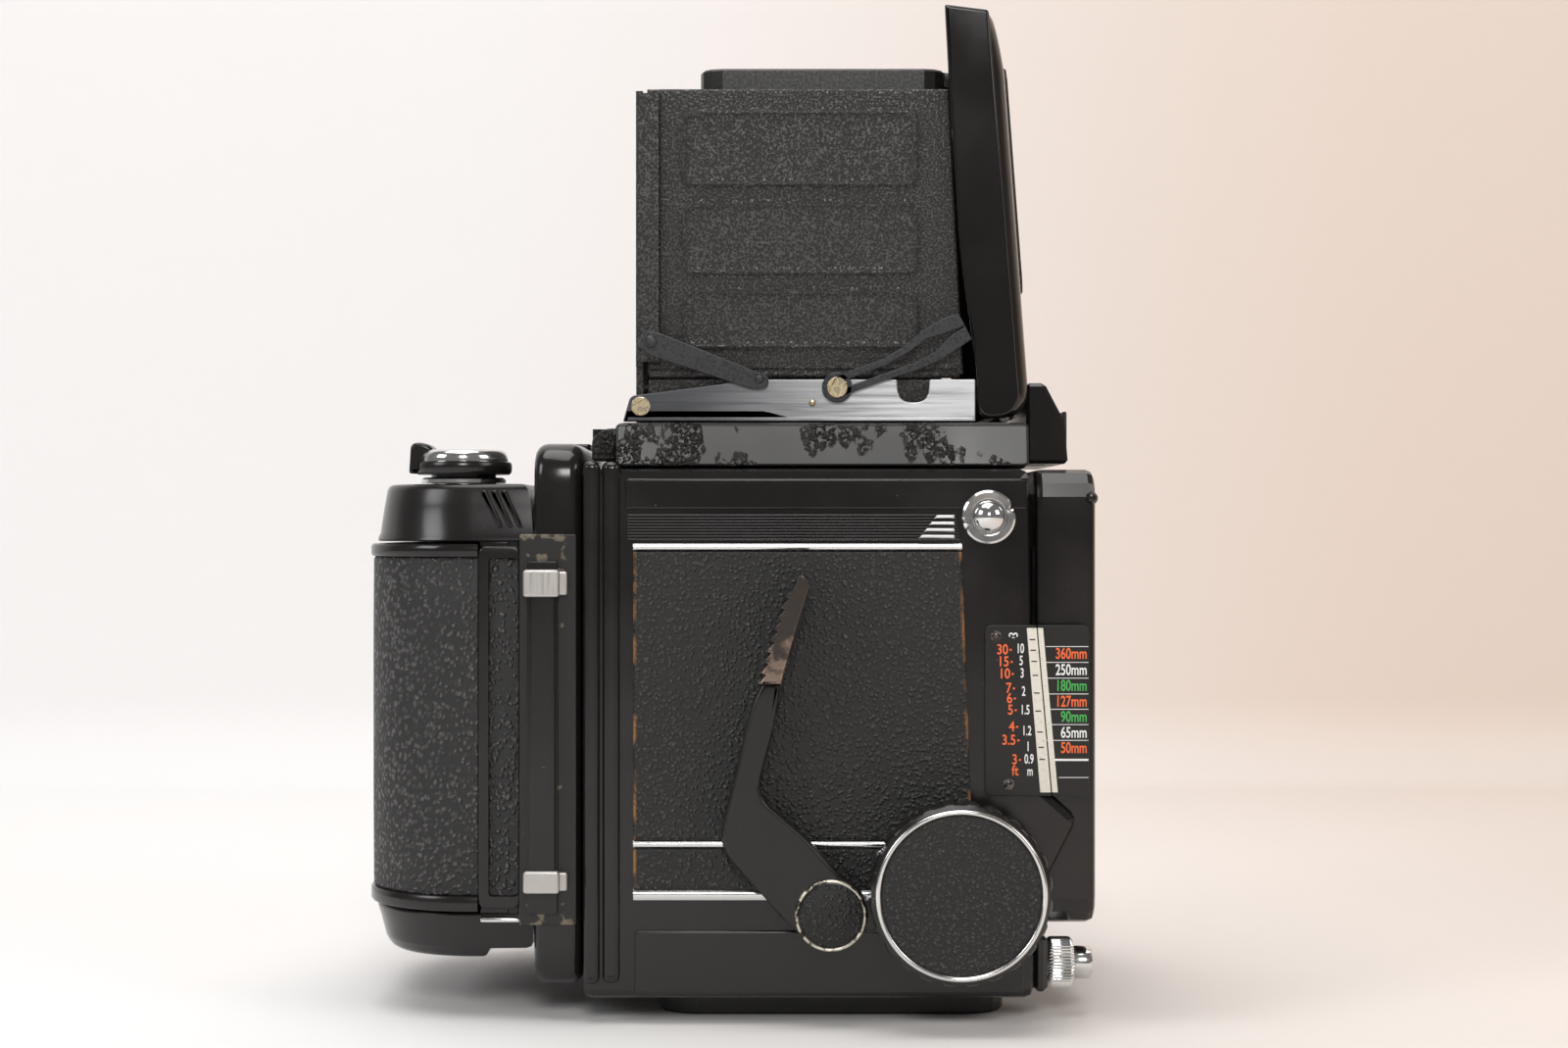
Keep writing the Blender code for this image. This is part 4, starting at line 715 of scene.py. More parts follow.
def knob(side):
    """A disc whose rim rows dip by 24 scallops."""
    def scallops(t, row):
        dip = np.clip(np.cos(24 * t), -0.35, 1.0)
        deep = np.where((row >= 4) & (row <= 8), 0.034, 0.0)
        return 1.0 - deep * (dip + 0.35) * 0.9

    rise = (65.35, 65.35, 65.0, 64.7, 64.0, 63.0, 60.5, 58.2, 57.6, 57.1,
            56.9, 50.8)
    radii = (0.0, 18.2, 18.5, 18.9, 19.35, 19.4, 19.4, 19.4, 19.0, 18.0,
             14.0, 14.0)
    profile = [(r, side * h) for r, h in zip(radii, rise)]
    return turned(profile, KNOB, "Y", 288, scallops)


def face_ring(centre, side, inner, outer, base, proud, steps=128):
    """A bright ring with a rounded crown."""
    w = np.linspace(0.0, math.pi, 9)
    mid, half = (inner + outer) / 2, (outer - inner) / 2
    section = [(mid - half * math.cos(a), side * (base + proud * math.sin(a)))
               for a in w] + [(outer, side * (base - 0.2)),
                              (inner, side * (base - 0.2))]
    return ring_of(section, centre, "Y", steps)


for tag, side in (("right", -1), ("left", 1)):
    piece("knob_" + tag, knob(side), "focus_shaft", KNOB_BLACK,
          ["focus_knob_" + tag])
    piece("knob_bezel_" + tag, face_ring(KNOB, side, 16.9, 18.1, 65.3, 0.7),
          "focus_shaft", RING_CHROME, ["knob_ring_" + tag])
    disc = turned([(0.0, side * 65.75), (14.0, side * 65.72),
                   (16.6, side * 65.6), (16.9, side * 65.2)], KNOB, "Y", 96)
    piece("knob_disc_" + tag, disc, "focus_shaft", KNOB_LEATHER)

# ---------------------------------------------------------------------------
# Cocking lever. A bent arm of black lacquered steel on a round hub capped by
# a leather disc in a worn ring, with a serrated thumb piece turned outward.

HUB = (22.2, 0.0, 24.6)
arm = soft_outline([(HUB[0] + a, HUB[2] + b, c) for a, b, c in (
    (-10.5, -0.5, 0.6), (-4.0, -6.8, 1.5), (4.5, -5.5, 1.5),
    (6.8, 3.6, 1.5), (1.3, 9.1, 1.2), (-4.9, 16.0, 3.0),
    (-14.3, 24.2, 1.6), (-15.3, 27.8, 1.6), (-11.9, 41.2, 2.0),
    (-10.8, 49.2, 0.5), (-14.7, 49.4, 0.5), (-17.0, 44.7, 2.0),
    (-23.0, 20.2, 2.0), (-23.4, 15.4, 1.4), (-22.0, 12.5, 1.4),
    (-12.0, 1.2, 2.0))], 4)
LEVER_BLACK = lacquer("lever_black", (0.013, 0.0115, 0.011), 0.22, 0.34)
hub = turned([(0.0, -56.4), (7.2, -56.4), (7.9, -56.0), (8.0, -55.0),
              (8.0, -50.6), (3.0, -50.6), (3.0, -45.5), (0.0, -45.5)], HUB,
             "Y", 80)
piece("lever_arm", joined(plate(arm, -51.5, -56.0, 0.9, "Y", 4), hub),
      "cocking_lever", LEVER_BLACK, ["cocking_lever"])
worn, tree, shader, where = paint("worn_ring", (0.5, 0.46, 0.36), 0.3, 0.9)
rub = between(tree, grain(tree, where, 700.0, 3.0), 0.5, 0.62)
tint(tree, shader, rub, (0.7, 0.66, 0.55), (0.06, 0.05, 0.04))
piece("lever_bezel", face_ring(HUB, -1, 6.9, 7.7, 56.35, 0.5, 96),
      "cocking_lever", worn)
piece("lever_disc", turned([(0.0, -56.75), (6.2, -56.72), (6.9, -56.3)], HUB,
                           "Y", 64), "cocking_lever", KNOB_LEATHER)

TEETH = 10
t = np.linspace(0.0, 1.0, TEETH * 6 + 1)
bow = -14.4 + 7.0 * t ** 1.25
tooth = 1.5 * (1.0 - np.mod(t * TEETH, 1.0)) ** 0.8 * (t < 0.86) - 0.6
rear_edge = np.stack([HUB[0] + bow - tooth, HUB[2] + 49.6 + 23.0 * t], 1)
front_edge = np.stack([HUB[0] - 10.6 + 6.2 * t[::-1] ** 1.1,
                       HUB[2] + 49.6 + 21.0 * t[::-1]], 1)
tip = np.array([[HUB[0] - 6.2, HUB[2] + 73.1], [HUB[0] - 5.0, HUB[2] + 71.4]])
thumb_loop = np.concatenate([rear_edge, tip, front_edge])
THUMB, tree, shader, where = paint("thumb_metal", (0.1, 0.07, 0.05), 0.26,
                                   0.8)
foot = between(tree, along(tree, where, "Z"), 0.088, 0.075, 0.0, 0.3)
bare = between(tree, times(tree, grain(tree, where, 320.0, 4.0), foot,
                           "ADD"), 0.6, 0.78)
tint(tree, shader, bare, (0.07, 0.06, 0.055), (0.27, 0.2, 0.16))
relief(tree, shader, grain(tree, where, 900.0, 3.0), 0.3, 0.00008)
thumb = plate(thumb_loop[::-1], -51.9, -61.6, 0.45, "Y", 3)
piece("thumb_piece", thumb, "cocking_lever", THUMB, ["cocking_thumb"],
      50.0)

# ---------------------------------------------------------------------------
# Shutter release. A plunger in a knurled, chromed lock collar.


def knurl(t, row):
    """Forty-eight straight knurls on the collar's grip rows."""
    ridge = 0.5 + 0.5 * np.cos(48 * t)
    return 1.0 - 0.055 * ridge * (row >= 2) * (row <= 5)


collar = ring_of([(3.9, 75.6), (5.0, 75.6), (5.5, 75.1), (5.65, 74.6),
                  (5.65, 71.0), (5.5, 70.4), (5.1, 69.95), (3.9, 69.95)],
                 (0.0, -38.0, 11.6), "X", 384, knurl)
piece("release_collar", collar, "lock_collar", LUG_CHROME, ["lock_collar"])
plunger = turned([(0.0, 79.0), (1.4, 79.05), (2.2, 79.6), (3.1, 79.75),
                  (3.55, 79.3), (3.6, 78.6), (3.6, 75.8), (3.3, 75.3),
                  (3.3, 62.0), (0.0, 62.0)], (0.0, -38.0, 11.6), "X", 64)
piece("release_button", plunger, "shutter_button", LUG_CHROME,
      ["shutter_button"])

# ---------------------------------------------------------------------------
# Revolving adapter. A rounded frame that turns on the rear bearing; the lock
# plates on its sides are rubbed through to bare metal at their ends.


def framed(outer, inner, near, far, soft, across="X"):
    """A section carried round two matching outlines: the outer edge is
    rounded and the inner edge bounds an opening."""
    u = np.linspace(0.0, math.pi / 2, 5)
    way = np.sign(far - near)
    inset, rise = soft * (1 - np.sin(u)), soft * (1 - np.cos(u))
    loops, depth = [inner], [near]
    for i, r in zip(inset, rise):
        loops.append(outer - outward(outer) * i)
        depth.append(near + way * r)
    for i, r in zip(inset[::-1], rise[::-1]):
        loops.append(outer - outward(outer) * i)
        depth.append(far - way * r)
    loops.append(inner)
    depth.append(far)
    points = in_space(np.array(loops), np.array(depth)[:, None], across)
    return points.reshape(-1, 3), strips(len(depth), len(outer), True)


ADAPTER_BLACK = lacquer("adapter_lacquer", low=0.08, high=0.18)
frame_loop = box_outline(-48.6, 48.6, 7.6, 125.6, 9.0, 8)
gate_loop = box_outline(-34.0, 34.0, 39.6, 93.6, 0.6, 8)
bearing = ring_of([(43.6, -31.0), (45.6, -31.0), (45.6, -27.4),
                   (43.6, -27.4)], (0.0, 0.0, AXIS_Z), "X", 96)
mark_bar = plate(box_outline(-37.2, -32.4, -12.0, 12.0, 0.8), 124.5, 126.4,
                 0.3, "Z")
piece("adapter_frame", joined(framed(frame_loop, gate_loop, -42.0, -31.6,
                                     2.6), bearing, mark_bar),
      "revolving_back", ADAPTER_BLACK, ["back_adapter"])


def rubbed(name, top, low):
    """Black paint over brass and steel, rubbed away towards both ends."""
    mat, tree, shader, where = paint(name, (0.011, 0.01, 0.009), 0.36)
    height = along(tree, where, "Z")
    high = between(tree, height, top - 0.016, top)
    base = between(tree, height, low + 0.012, low)
    ends = times(tree, high, base, "MAXIMUM")
    spots = grain(tree, where, 260.0, 5.0)
    bare = between(tree, times(tree, spots, times(tree, ends, 0.16), "ADD"),
                   0.69, 0.75)
    metal = blend_colour(tree, grain(tree, where, 900.0, 2.0),
                         (0.3, 0.26, 0.19), (0.05, 0.042, 0.034))
    tint(tree, shader, bare, (0.011, 0.01, 0.009), metal)
    tree.links.new(times(tree, bare, 0.75), shader.inputs["Metallic"])
    relief(tree, shader, times(tree, bare, -1.0), 0.5, 0.00006)
    return mat


RUBBED = rubbed("rubbed_lock_paint", 0.1058, 0.0215)
BRUSHED = satin("brushed_tab", (0.62, 0.6, 0.57), 0.36, 0.9, (1, 1, 0.06))
BAR_BLACK = lacquer("lock_bar_black", (0.008, 0.007, 0.0066), 0.16, 0.26)
for tag, side in (("right", -1), ("left", 1)):
    under = plate(box_outline(-44.9, -32.6, 21.5, 105.8, 0.5), side * 48.0,
                  side * 49.6, 0.25)
    piece("lock_plate_" + tag, under, "revolving_back", RUBBED)
    bar = plate(box_outline(-42.6, -36.9, 30.0, 97.0, 1.0), side * 50.0,
                side * 51.7, 0.7)
    spine = plate(box_outline(-43.1, -36.6, 24.0, 100.0, 0.6), side * 50.0,
                  side * 50.9, 0.3)
    piece("lock_bar_" + tag, joined(bar, spine), "slide_lock_" + tag,
          BAR_BLACK, ["slide_lock_" + tag])
    tabs = []
    for low, top in ((92.3, 98.2), (28.7, 33.5)):
        tabs.append(plate(box_outline(-43.8, -36.0, low, top, 0.8),
                          side * 50.2, side * 53.0, 0.5))
        tabs.append(plate(box_outline(-36.6, -34.4, low + 0.4, top - 0.4,
                                      0.6), side * 49.8, side * 51.6, 0.4))
    piece("lock_tabs_" + tag, joined(*tabs), "slide_lock_" + tag, BRUSHED)

# ---------------------------------------------------------------------------
# Film holder. Cast end caps, drawn in towards their outer edge, a gate plate
# between them, and a leather-faced side panel with a bright latch wire.

REAR, ROUND = -80.6, 25.0


def back_loop(inset, front=-54.3, steps=14):
    """Plan outline, square at the front, round at the two rear corners."""
    a = np.linspace(0.0, math.pi / 2, steps)
    r, half = ROUND - inset, 46.0 - inset
    near = np.stack([REAR + inset + r - r * np.sin(a),
                     -half + r - r * np.cos(a)], 1)
    far = np.stack([near[::-1, 0], -near[::-1, 1]], 1)
    return np.concatenate([[[front, -half]], near, far, [[front, half]]])


def cap(levels, front=-42.5):
    """Plan outlines of growing inset stacked at their heights."""
    rows = []
    for z, inset, nose in levels:
        rows.append(in_space(back_loop(inset, nose), z, "Z"))
    rows = np.array(rows)
    n = rows.shape[1]
    faces = strips(len(rows), n)
    faces += [list(range(n)), list(range((len(rows) - 1) * n,
                                         len(rows) * n))]
    return rows.reshape(-1, 3), faces


HOLDER_BLACK = lacquer("holder_lacquer", low=0.18, high=0.28)
top_levels = [(104.2, 1.2, -42.4), (104.5, 1.0, -42.4), (105.2, 1.2, -42.4),
              (106.0, 1.6, -42.4), (112.0, 2.5, -43.0), (115.4, 3.1, -43.6),
              (116.3, 3.5, -44.2), (116.7, 4.1, -44.8), (116.8, 5.0, -46.0)]
low_levels = [(23.2, 1.2, -42.4), (22.8, 1.0, -42.4), (21.9, 1.2, -42.4),
              (20.5, 1.7, -42.4), (17.0, 2.6, -42.5), (15.9, 2.9, -42.9),
              (15.5, 3.1, -44.0), (15.4, 3.2, -52.0), (14.6, 3.6, -52.4),
              (13.8, 4.3, -52.8), (13.3, 5.2, -53.6), (13.2, 6.4, -55.0)]
side_loop = box_outline(-44.4, 44.4, 22.8, 104.6, 0.8, 8)
plates = [framed(side_loop, gate_loop, -54.0, -47.7, 0.3),
          framed(side_loop, gate_loop, -45.8, -42.3, 0.3),
          plate(box_outline(-47.8, -45.6, 22.8, 34.9, 0.3), -44.4, 44.4, 0.2),
          plate(box_outline(-47.8, -45.6, 98.4, 104.6, 0.3), -44.4, 44.4, 0.2)]
ribs = [plate(soft_outline([(x, 107.2, 0.3), (x + 1.4, 107.2, 0.3),
                            (x - 2.4, 115.4, 0.3), (x - 3.8, 115.4, 0.3)], 2),
              -42.6, -44.6, 0.6) for x in (-50.2, -48.0, -45.9)]
piece("holder_casting", joined(cap(top_levels), cap(low_levels), *plates,
                               *ribs), "revolving_back", HOLDER_BLACK,
      ["film_holder"])
# Painted light: this leather is coloured lighter than the body's to stand for
# the lamps falling on the back.
HOLDER_LEATHER = pebbled("holder_leather", 780.0, 0.0006,
                         (0.085, 0.082, 0.081))
panel_loop = box_outline(-54.2, -44.8, 24.5, 103.2, 2.0)
recess = box_outline(-51.9, -45.4, 27.2, 100.6, 0.9)
piece("side_panel", framed(panel_loop, recess, -46.5, -44.5, 0.6, "Y"),
      "revolving_back", HOLDER_BLACK)
piece("side_panel_leather", plate(recess, -44.5, -45.6, 0.2),
      "revolving_back", HOLDER_LEATHER, ["latch_panel"])
wire = turned([(0.0, -53.8), (0.5, -53.7), (0.6, -53.4), (0.6, -45.6),
               (0.5, -45.3), (0.0, -45.2)], (0.0, -45.2, 22.0), "X", 24)
piece("latch_wire", wire, "door_latch", TRIM_CHROME, ["door_latch"])
dress("door_hinge_pin", TURNED_STEEL)

# ---------------------------------------------------------------------------
# Dark slide. Thin spring steel with a folded pull along its outer end.

dress("dark_slide", satin("slide_steel", (0.35, 0.35, 0.35), 0.35, 1.0,
                          (1, 0.05, 1)))

# ---------------------------------------------------------------------------
# Back door. A pressed shell faced with coarser leather between two lacquered
# rims that stand a little proud.


DOOR_WALL = 2.5


def door_shell(levels):
    """Wall whose outer face stands off the plan outline by an inset given at
    each height, and whose inner face lies a wall's thickness inside it."""
    outer = np.array([in_space(back_loop(i), z, "Z") for z, i in levels])
    inner = np.array([in_space(back_loop(DOOR_WALL), z, "Z")
                      for z, _ in levels])
    return two_sided(outer, inner)


DOOR_BLACK = lacquer("door_lacquer", low=0.15, high=0.25)
rim_top = door_shell([(100.7, 0.5), (100.9, -0.2), (101.4, -0.5),
                      (103.0, -0.5), (103.5, -0.2), (103.7, 0.4)])
rim_low = door_shell([(23.7, 0.4), (23.9, -0.2), (24.4, -0.5),
                      (26.6, -0.5), (27.1, -0.2), (27.3, 0.5)])
barrel = turned([(0.0, 83.0), (1.6, 83.0), (1.7, 82.8), (1.7, 50.2),
                 (1.6, 50.0), (0.0, 50.0)], (-53.9, 48.0, 0.0), "Z", 24)
leaf = plate(box_outline(-59.9, -54.0, 50.4, 82.6, 0.4), 45.6, 47.3, 0.2)
piece("door_rims", joined(rim_top, rim_low, barrel, leaf), "back_door",
      DOOR_BLACK, ["back_door"])
skin = door_shell([(27.2, 1.0), (27.35, 0.4), (27.8, 0.1), (46.0, 0.0),
                   (66.6, 0.0), (86.0, 0.0), (100.2, 0.1), (100.65, 0.4),
                   (100.8, 1.0)])
piece("door_leather", skin, "back_door", HOLDER_LEATHER)
dress("pressure_plate", PRESSED_BLACK)
SPOOL_BLACK = satin("spool_plastic", (0.02, 0.02, 0.02), 0.5)
dress("take_up_spool", SPOOL_BLACK)
dress("supply_spool", SPOOL_BLACK)

# ---------------------------------------------------------------------------
# Film advance. A black ring with an upright finger tab, and a bright dished
# disc on top marked with plain dots.

DIAL = (-59.3, -30.0, 0.0)


base_disc = turned([(0.0, 118.4), (8.8, 118.3), (9.4, 117.9), (9.4, 117.1),
                    (0.0, 117.1)], DIAL, "Z", 80)
grip_ring = turned([(0.0, 121.9), (10.0, 121.9), (10.5, 121.7), (10.7, 121.3),
                    (10.75, 120.4), (10.6, 119.5), (10.2, 119.0),
                    (7.0, 118.9), (0.0, 118.9)], DIAL, "Z", 120)
tab_loop = soft_outline([(-71.0, 119.2, 0.5), (-63.6, 119.2, 0.5),
                         (-66.0, 125.3, 1.0), (-68.4, 126.2, 1.2),
                         (-70.6, 125.8, 1.2)], 5)
tab = plate(tab_loop, -34.5, -25.5, 0.8)
post_disc = turned([(0.0, 119.2), (7.2, 119.2), (7.2, 117.0), (0.0, 117.0)],
                   DIAL, "Z", 60)
piece("advance_ring", joined(grip_ring, tab, post_disc), "film_advance",
      HOLDER_BLACK, ["advance_lever"])
piece("advance_collar", base_disc, "revolving_back", TRIM_CHROME)
lid_disc = turned([(0.0, 123.6), (5.5, 123.7), (6.2, 124.4), (8.0, 124.5),
                   (8.7, 124.35), (9.3, 123.9), (9.7, 123.2), (9.85, 122.5),
                   (9.85, 121.7), (0.0, 121.7)], DIAL, "Z", 96)
piece("advance_cap", lid_disc, "film_advance", TRIM_CHROME,
      ["advance_disc"])
dots = []
for k in range(12):
    a = 2 * math.pi * k / 12
    dots.append(turned([(0.0, 124.5), (0.4, 124.5), (0.4, 124.2),
                        (0.0, 124.2)],
                       (DIAL[0] + 7.4 * math.cos(a),
                        DIAL[1] + 7.4 * math.sin(a), 0.0), "Z", 12))
piece("advance_dots", joined(*dots), "film_advance", INK_BLACK)

# ---------------------------------------------------------------------------
# Finder frame. A cast frame that slides onto the body's top. Its glossy
# paint has blistered where the alloy beneath has corroded.

RAIL, tree, shader, where = paint("blistered_lacquer", (0.02, 0.017, 0.015),
                                  0.25, 0.0, 0.35)
patch = between(tree, grain(tree, where, 75.0, 3.0, (1, 1, 0.6)), 0.5, 0.58)
bubbles = between(tree, grain(tree, where, 900.0, 4.0), 0.42, 0.6)
blister = times(tree, patch, bubbles)
pit = times(tree, patch, between(tree, grain(tree, where, 2200.0, 3.0), 0.58,
                                 0.66))
tint(tree, shader, pit, (0.012, 0.011, 0.0105), (0.1, 0.09, 0.08))
wear = grain(tree, where, 28.0, 2.0)
rough(tree, shader, between(tree, wear, 0.3, 0.65, 0.2, 0.34))
relief(tree, shader, blister, 1.0, 0.0008)
dress("finder_frame", RAIL)
for tag, side in (("right", -1), ("left", 1)):
    rail = plate(box_outline(-24.4, 65.4, 120.6, 129.8, 1.0), side * 42.0,
                 side * 46.2, 0.5)
    points = rail[0]
    tilt = (points[:, 2] - 120.6) / 9.2 * (np.abs(points[:, 1]) > 44.0)
    points[:, 1] -= side * 1.6 * tilt
    piece("finder_rail_" + tag, rail, "camera_body", RAIL)
    catch = plate(soft_outline([(-29.8, 121.8, 0.8), (-24.5, 121.8, 0.5),
                                (-24.5, 128.9, 0.5), (-27.4, 128.9, 2.0),
                                (-29.8, 126.6, 1.0)], 4), side * 34.0,
                  side * 42.2, 0.5)
    piece("finder_catch_" + tag, catch, "camera_body", RAIL)

# ---------------------------------------------------------------------------
# Front block. The sloping casting below the lid, with a thin blank plate.

dress("finder_front_block", BODY_LACQUER)
name_plate = plate(box_outline(-24.0, 24.0, 124.6, 133.4, 0.8), 75.2, 76.0,
                   0.3, "X")
piece("blank_front_plate", name_plate, "camera_body", PRESSED_BLACK)

# ---------------------------------------------------------------------------
# Hood side plates. Two dark brushed plates screwed to the frame carry the
# hood's pivots; their colour is painted brighter towards the front, a painted
# reflection of the lamps. The slotted pivot screws are lacquered brass.

STAY_BLACK = satin("stay_black", (0.036, 0.038, 0.042), 0.3, 0.2)
BRASS, tree, shader, where = paint("aged_brass", (0.6, 0.5, 0.32), 0.28, 1.0)
dull = between(tree, grain(tree, where, 600.0, 4.0), 0.35, 0.65)
tint(tree, shader, dull, (0.42, 0.34, 0.2), (0.74, 0.66, 0.48))
rough(tree, shader, between(tree, dull, 0.0, 1.0, 0.4, 0.22))
BRUSHED_DARK, tree, shader, where = paint("brushed_dark", (0.2, 0.2, 0.2),
                                          0.36, 0.85)
drawn = grain(tree, where, 1600.0, 3.0, (0.04, 1, 1))
# Painted reflection: the plate's colour grows brighter towards the front,
# streaked along the brushing.
sheen_towards_front = between(tree, along(tree, where, "X"), -0.012, 0.05)
painted_sheen = times(tree, sheen_towards_front, times(tree, drawn, 0.5, "ADD"))
tint(tree, shader, painted_sheen, (0.085, 0.088, 0.095), (0.66, 0.67, 0.69))
rough(tree, shader, between(tree, drawn, 0.2, 0.8, 0.28, 0.46))
relief(tree, shader, drawn, 0.22, 0.00004)


def slotted(x, z, radius, side, face, turn):
    """A cheese-head screw: domed rim, and a slot left between two halves."""
    half = []
    for flip in (0.0, math.pi):
        a = np.linspace(0.16 * math.pi, 0.84 * math.pi, 20) + flip + turn
        arc = np.stack([x + radius * np.cos(a), z + radius * np.sin(a)], 1)
        half.append(plate(arc, side * (face - 0.2), side * (face + 0.75),
                          0.22))
    seat = turned([(0.0, side * (face + 0.3)), (radius * 0.97,
                  side * (face + 0.3)), (radius, side * face),
                   (radius, side * (face - 0.4)),
                   (0.0, side * (face - 0.4))], (x, 0.0, z), "Y", 36)
    return joined(seat, *half)


for tag, side in (("right", -1), ("left", 1)):
    notch = [(-23.0, 130.4, 0.3), (54.0, 130.4, 0.3), (54.0, 139.6, 0.3),
             (44.0, 139.6, 0.4), (43.8, 134.6, 3.0), (37.1, 134.6, 3.0),
             (36.9, 139.6, 0.4), (6.0, 139.6, 3.0), (-21.4, 136.0, 1.2)]
    low_plate = plate(soft_outline(notch, 6), side * 39.8, side * 42.2, 0.25)
    lower_rim = plate(box_outline(-22.0, 53.6, 130.5, 131.3, 0.3),
                      side * 42.0, side * 42.5, 0.15)
    piece("hood_side_plate_" + tag, joined(low_plate, lower_rim),
          "camera_body", BRUSHED_DARK, ["hood_plate_" + tag])
    screws = joined(slotted(-19.1, 133.7, 2.1, side, 42.2, 0.5),
                    slotted(23.8, 137.8, 2.25, side, 43.4, 1.1),
                    turned([(0.0, side * 43.1), (0.5, side * 43.0),
                            (0.75, side * 42.7), (0.75, side * 42.0),
                            (0.0, side * 42.0)], (18.4, 0.0, 134.5), "Y", 20))
    piece("hood_screws_" + tag, screws, "camera_body", BRASS,
          ["stay_screw_" + tag])

    # Link from the rear wall forward to the plate, and the front stay with
    # its dog-legged slot, drawn as two rails that leave the slot open.
    link = soft_outline([(-19.8, 147.2, 1.2), (-18.2, 150.4, 1.4),
                         (-14.6, 149.6, 1.4), (9.0, 140.2, 1.2),
                         (8.6, 137.6, 1.2), (5.4, 137.4, 1.2),
                         (-17.4, 144.9, 1.4)], 4)
    link_pin = turned([(0.0, side * 43.9), (1.1, side * 43.8),
                       (1.4, side * 43.5), (1.4, side * 42.4),
                       (0.0, side * 42.4)], (-16.9, 0.0, 147.7), "Y", 24)
    link_rivet = turned([(0.0, side * 43.9), (0.8, side * 43.8),
                         (1.0, side * 43.5), (1.0, side * 42.4),
                         (0.0, side * 42.4)], (6.8, 0.0, 139.6), "Y", 24)
    piece("rear_link_plate_" + tag,
          joined(plate(link, side * 42.6, side * 43.4, 0.25), link_pin,
                 link_rivet), "camera_body", STAY_BLACK,
          ["rear_link_" + tag])
    path = np.array([(23.8, 137.8), (27.2, 139.2), (34.7, 141.9),
                     (40.0, 144.3), (44.3, 147.0), (48.2, 149.4),
                     (51.7, 151.2)])
    run = np.gradient(path, axis=0)
    run /= np.linalg.norm(run, axis=1, keepdims=True)
    square = np.stack([-run[:, 1], run[:, 0]], 1)
    half_width = np.array([2.4, 2.3, 2.3, 3.0, 3.8, 3.7, 3.2])[:, None]
    slot_half = np.array([0.8, 0.75, 0.8, 1.3, 1.7, 0.5, 0.03])[:, None]
    high = np.concatenate([path + square * half_width,
                           (path + square * slot_half)[::-1]])
    low = np.concatenate([path - square * slot_half,
                          (path - square * half_width)[::-1]])
    eye = ring_of([(1.3, side * 42.5), (3.1, side * 42.5),
                   (3.3, side * 42.7), (3.3, side * 43.2),
                   (3.1, side * 43.4), (1.3, side * 43.4)],
                  (23.8, 0.0, 137.8), "Y", 40)
    bars = [plate(np.array(bar), side * 42.5, side * 43.4, 0.2)
            for bar in (high, low[::-1])]
    piece("front_stay_arm_" + tag, joined(eye, *bars), "camera_body",
          STAY_BLACK, ["front_stay_" + tag])

# ---------------------------------------------------------------------------
# Hood walls. Pressed aluminium panels in black crinkle paint, each with
# three raised fields, a hinge bead below and a turned-in flange behind.

CRINKLE, tree, shader, where = paint("hood_crinkle", (0.016, 0.015, 0.0145),
                                     0.45)
sand = between(tree, grain(tree, where, 2000.0, 2.0), 0.4, 0.62)
relief(tree, shader, sand, 1.0, 0.00016)
rough(tree, shader, between(tree, sand, 0.0, 1.0, 0.6, 0.27))
# Painted shade and highlight: the grain's hollows are coloured darker than its
# crests.
tint(tree, shader, sand, (0.007, 0.0066, 0.0063), (0.06, 0.056, 0.054))
dress("hood_rear_wall", CRINKLE)
WALL_Y, WALL_TOP, WALL_REAR = 38.35, 203.6, -17.9


def fields(x, z):
    """Height of the pressed fields over (x, z): each is a rounded rectangle
    raised by a smooth step 0.9 wide, with a bead exp(-(d / 0.5)^2) on it,
    d being the distance from a line 0.9 inside its edge."""
    lift = np.zeros_like(x)
    for low, high in ((181.7, 199.2), (162.3, 178.9), (146.0, 159.7)):
        cx, hx, r = 15.7, 26.4, 3.0
        cz, hz = (low + high) / 2, (high - low) / 2
        dx = np.abs(x - cx) - (hx - r)
        dz = np.abs(z - cz) - (hz - r)
        far = np.hypot(np.maximum(dx, 0), np.maximum(dz, 0)) + np.minimum(
            np.maximum(dx, dz), 0) - r
        step = np.clip(-far / 0.9, 0.0, 1.0)
        bead = np.exp(-((far + 0.9) / 0.5) ** 2)
        lift = np.maximum(lift, 0.3 * step * step * (3 - 2 * step)
                          + 0.45 * bead)
    return lift


for tag, side, base in (("right", -1, 141.0), ("left", 1, 143.4)):
    u = np.linspace(0.0, 1.0, 180)[None, :]
    z = np.linspace(base, WALL_TOP, 200)[:, None] + 0 * u
    tip_x = 51.6 - 3.2 * (z - base) / (WALL_TOP - base)
    x = WALL_REAR + (tip_x - WALL_REAR) * u
    edge = np.minimum(np.minimum(x - WALL_REAR, tip_x - x), WALL_TOP - z)
    soft = 0.5 * (1 - np.clip(edge / 0.6, 0, 1)) ** 2
    step_band = 0.35 * np.clip((x + 15.4) / 0.5, 0, 1)
    y = WALL_Y + 0.35 + step_band + fields(x, z) - soft
    outer = np.stack([x, side * y, z], -1)
    inner = np.stack([x, side * (WALL_Y - 0.75 + 0 * y), z], -1)
    wall = two_sided(outer, inner)
    barrel = turned([(0.0, -17.4), (0.9, -17.4), (0.95, -17.2),
                     (0.95, 50.6), (0.9, 50.8), (0.0, 50.8)],
                    (0.0, side * WALL_Y, base), "X", 24)
    bead = plate(box_outline(-17.2, 50.6, base + 1.0, base + 2.2, 0.4),
                 side * 38.0, side * 39.4, 0.3)
    piece("hood_panel_" + tag, joined(wall, barrel, bead), "hood_wall_" + tag,
          CRINKLE, ["hood_wall_" + tag])
    skirt = plate(box_outline(-17.6, 53.0, 130.3, base - 1.3, 0.3),
                  side * 37.7, side * 39.2, 0.2)
    piece("hood_skirt_" + tag, skirt, "camera_body", CRINKLE)

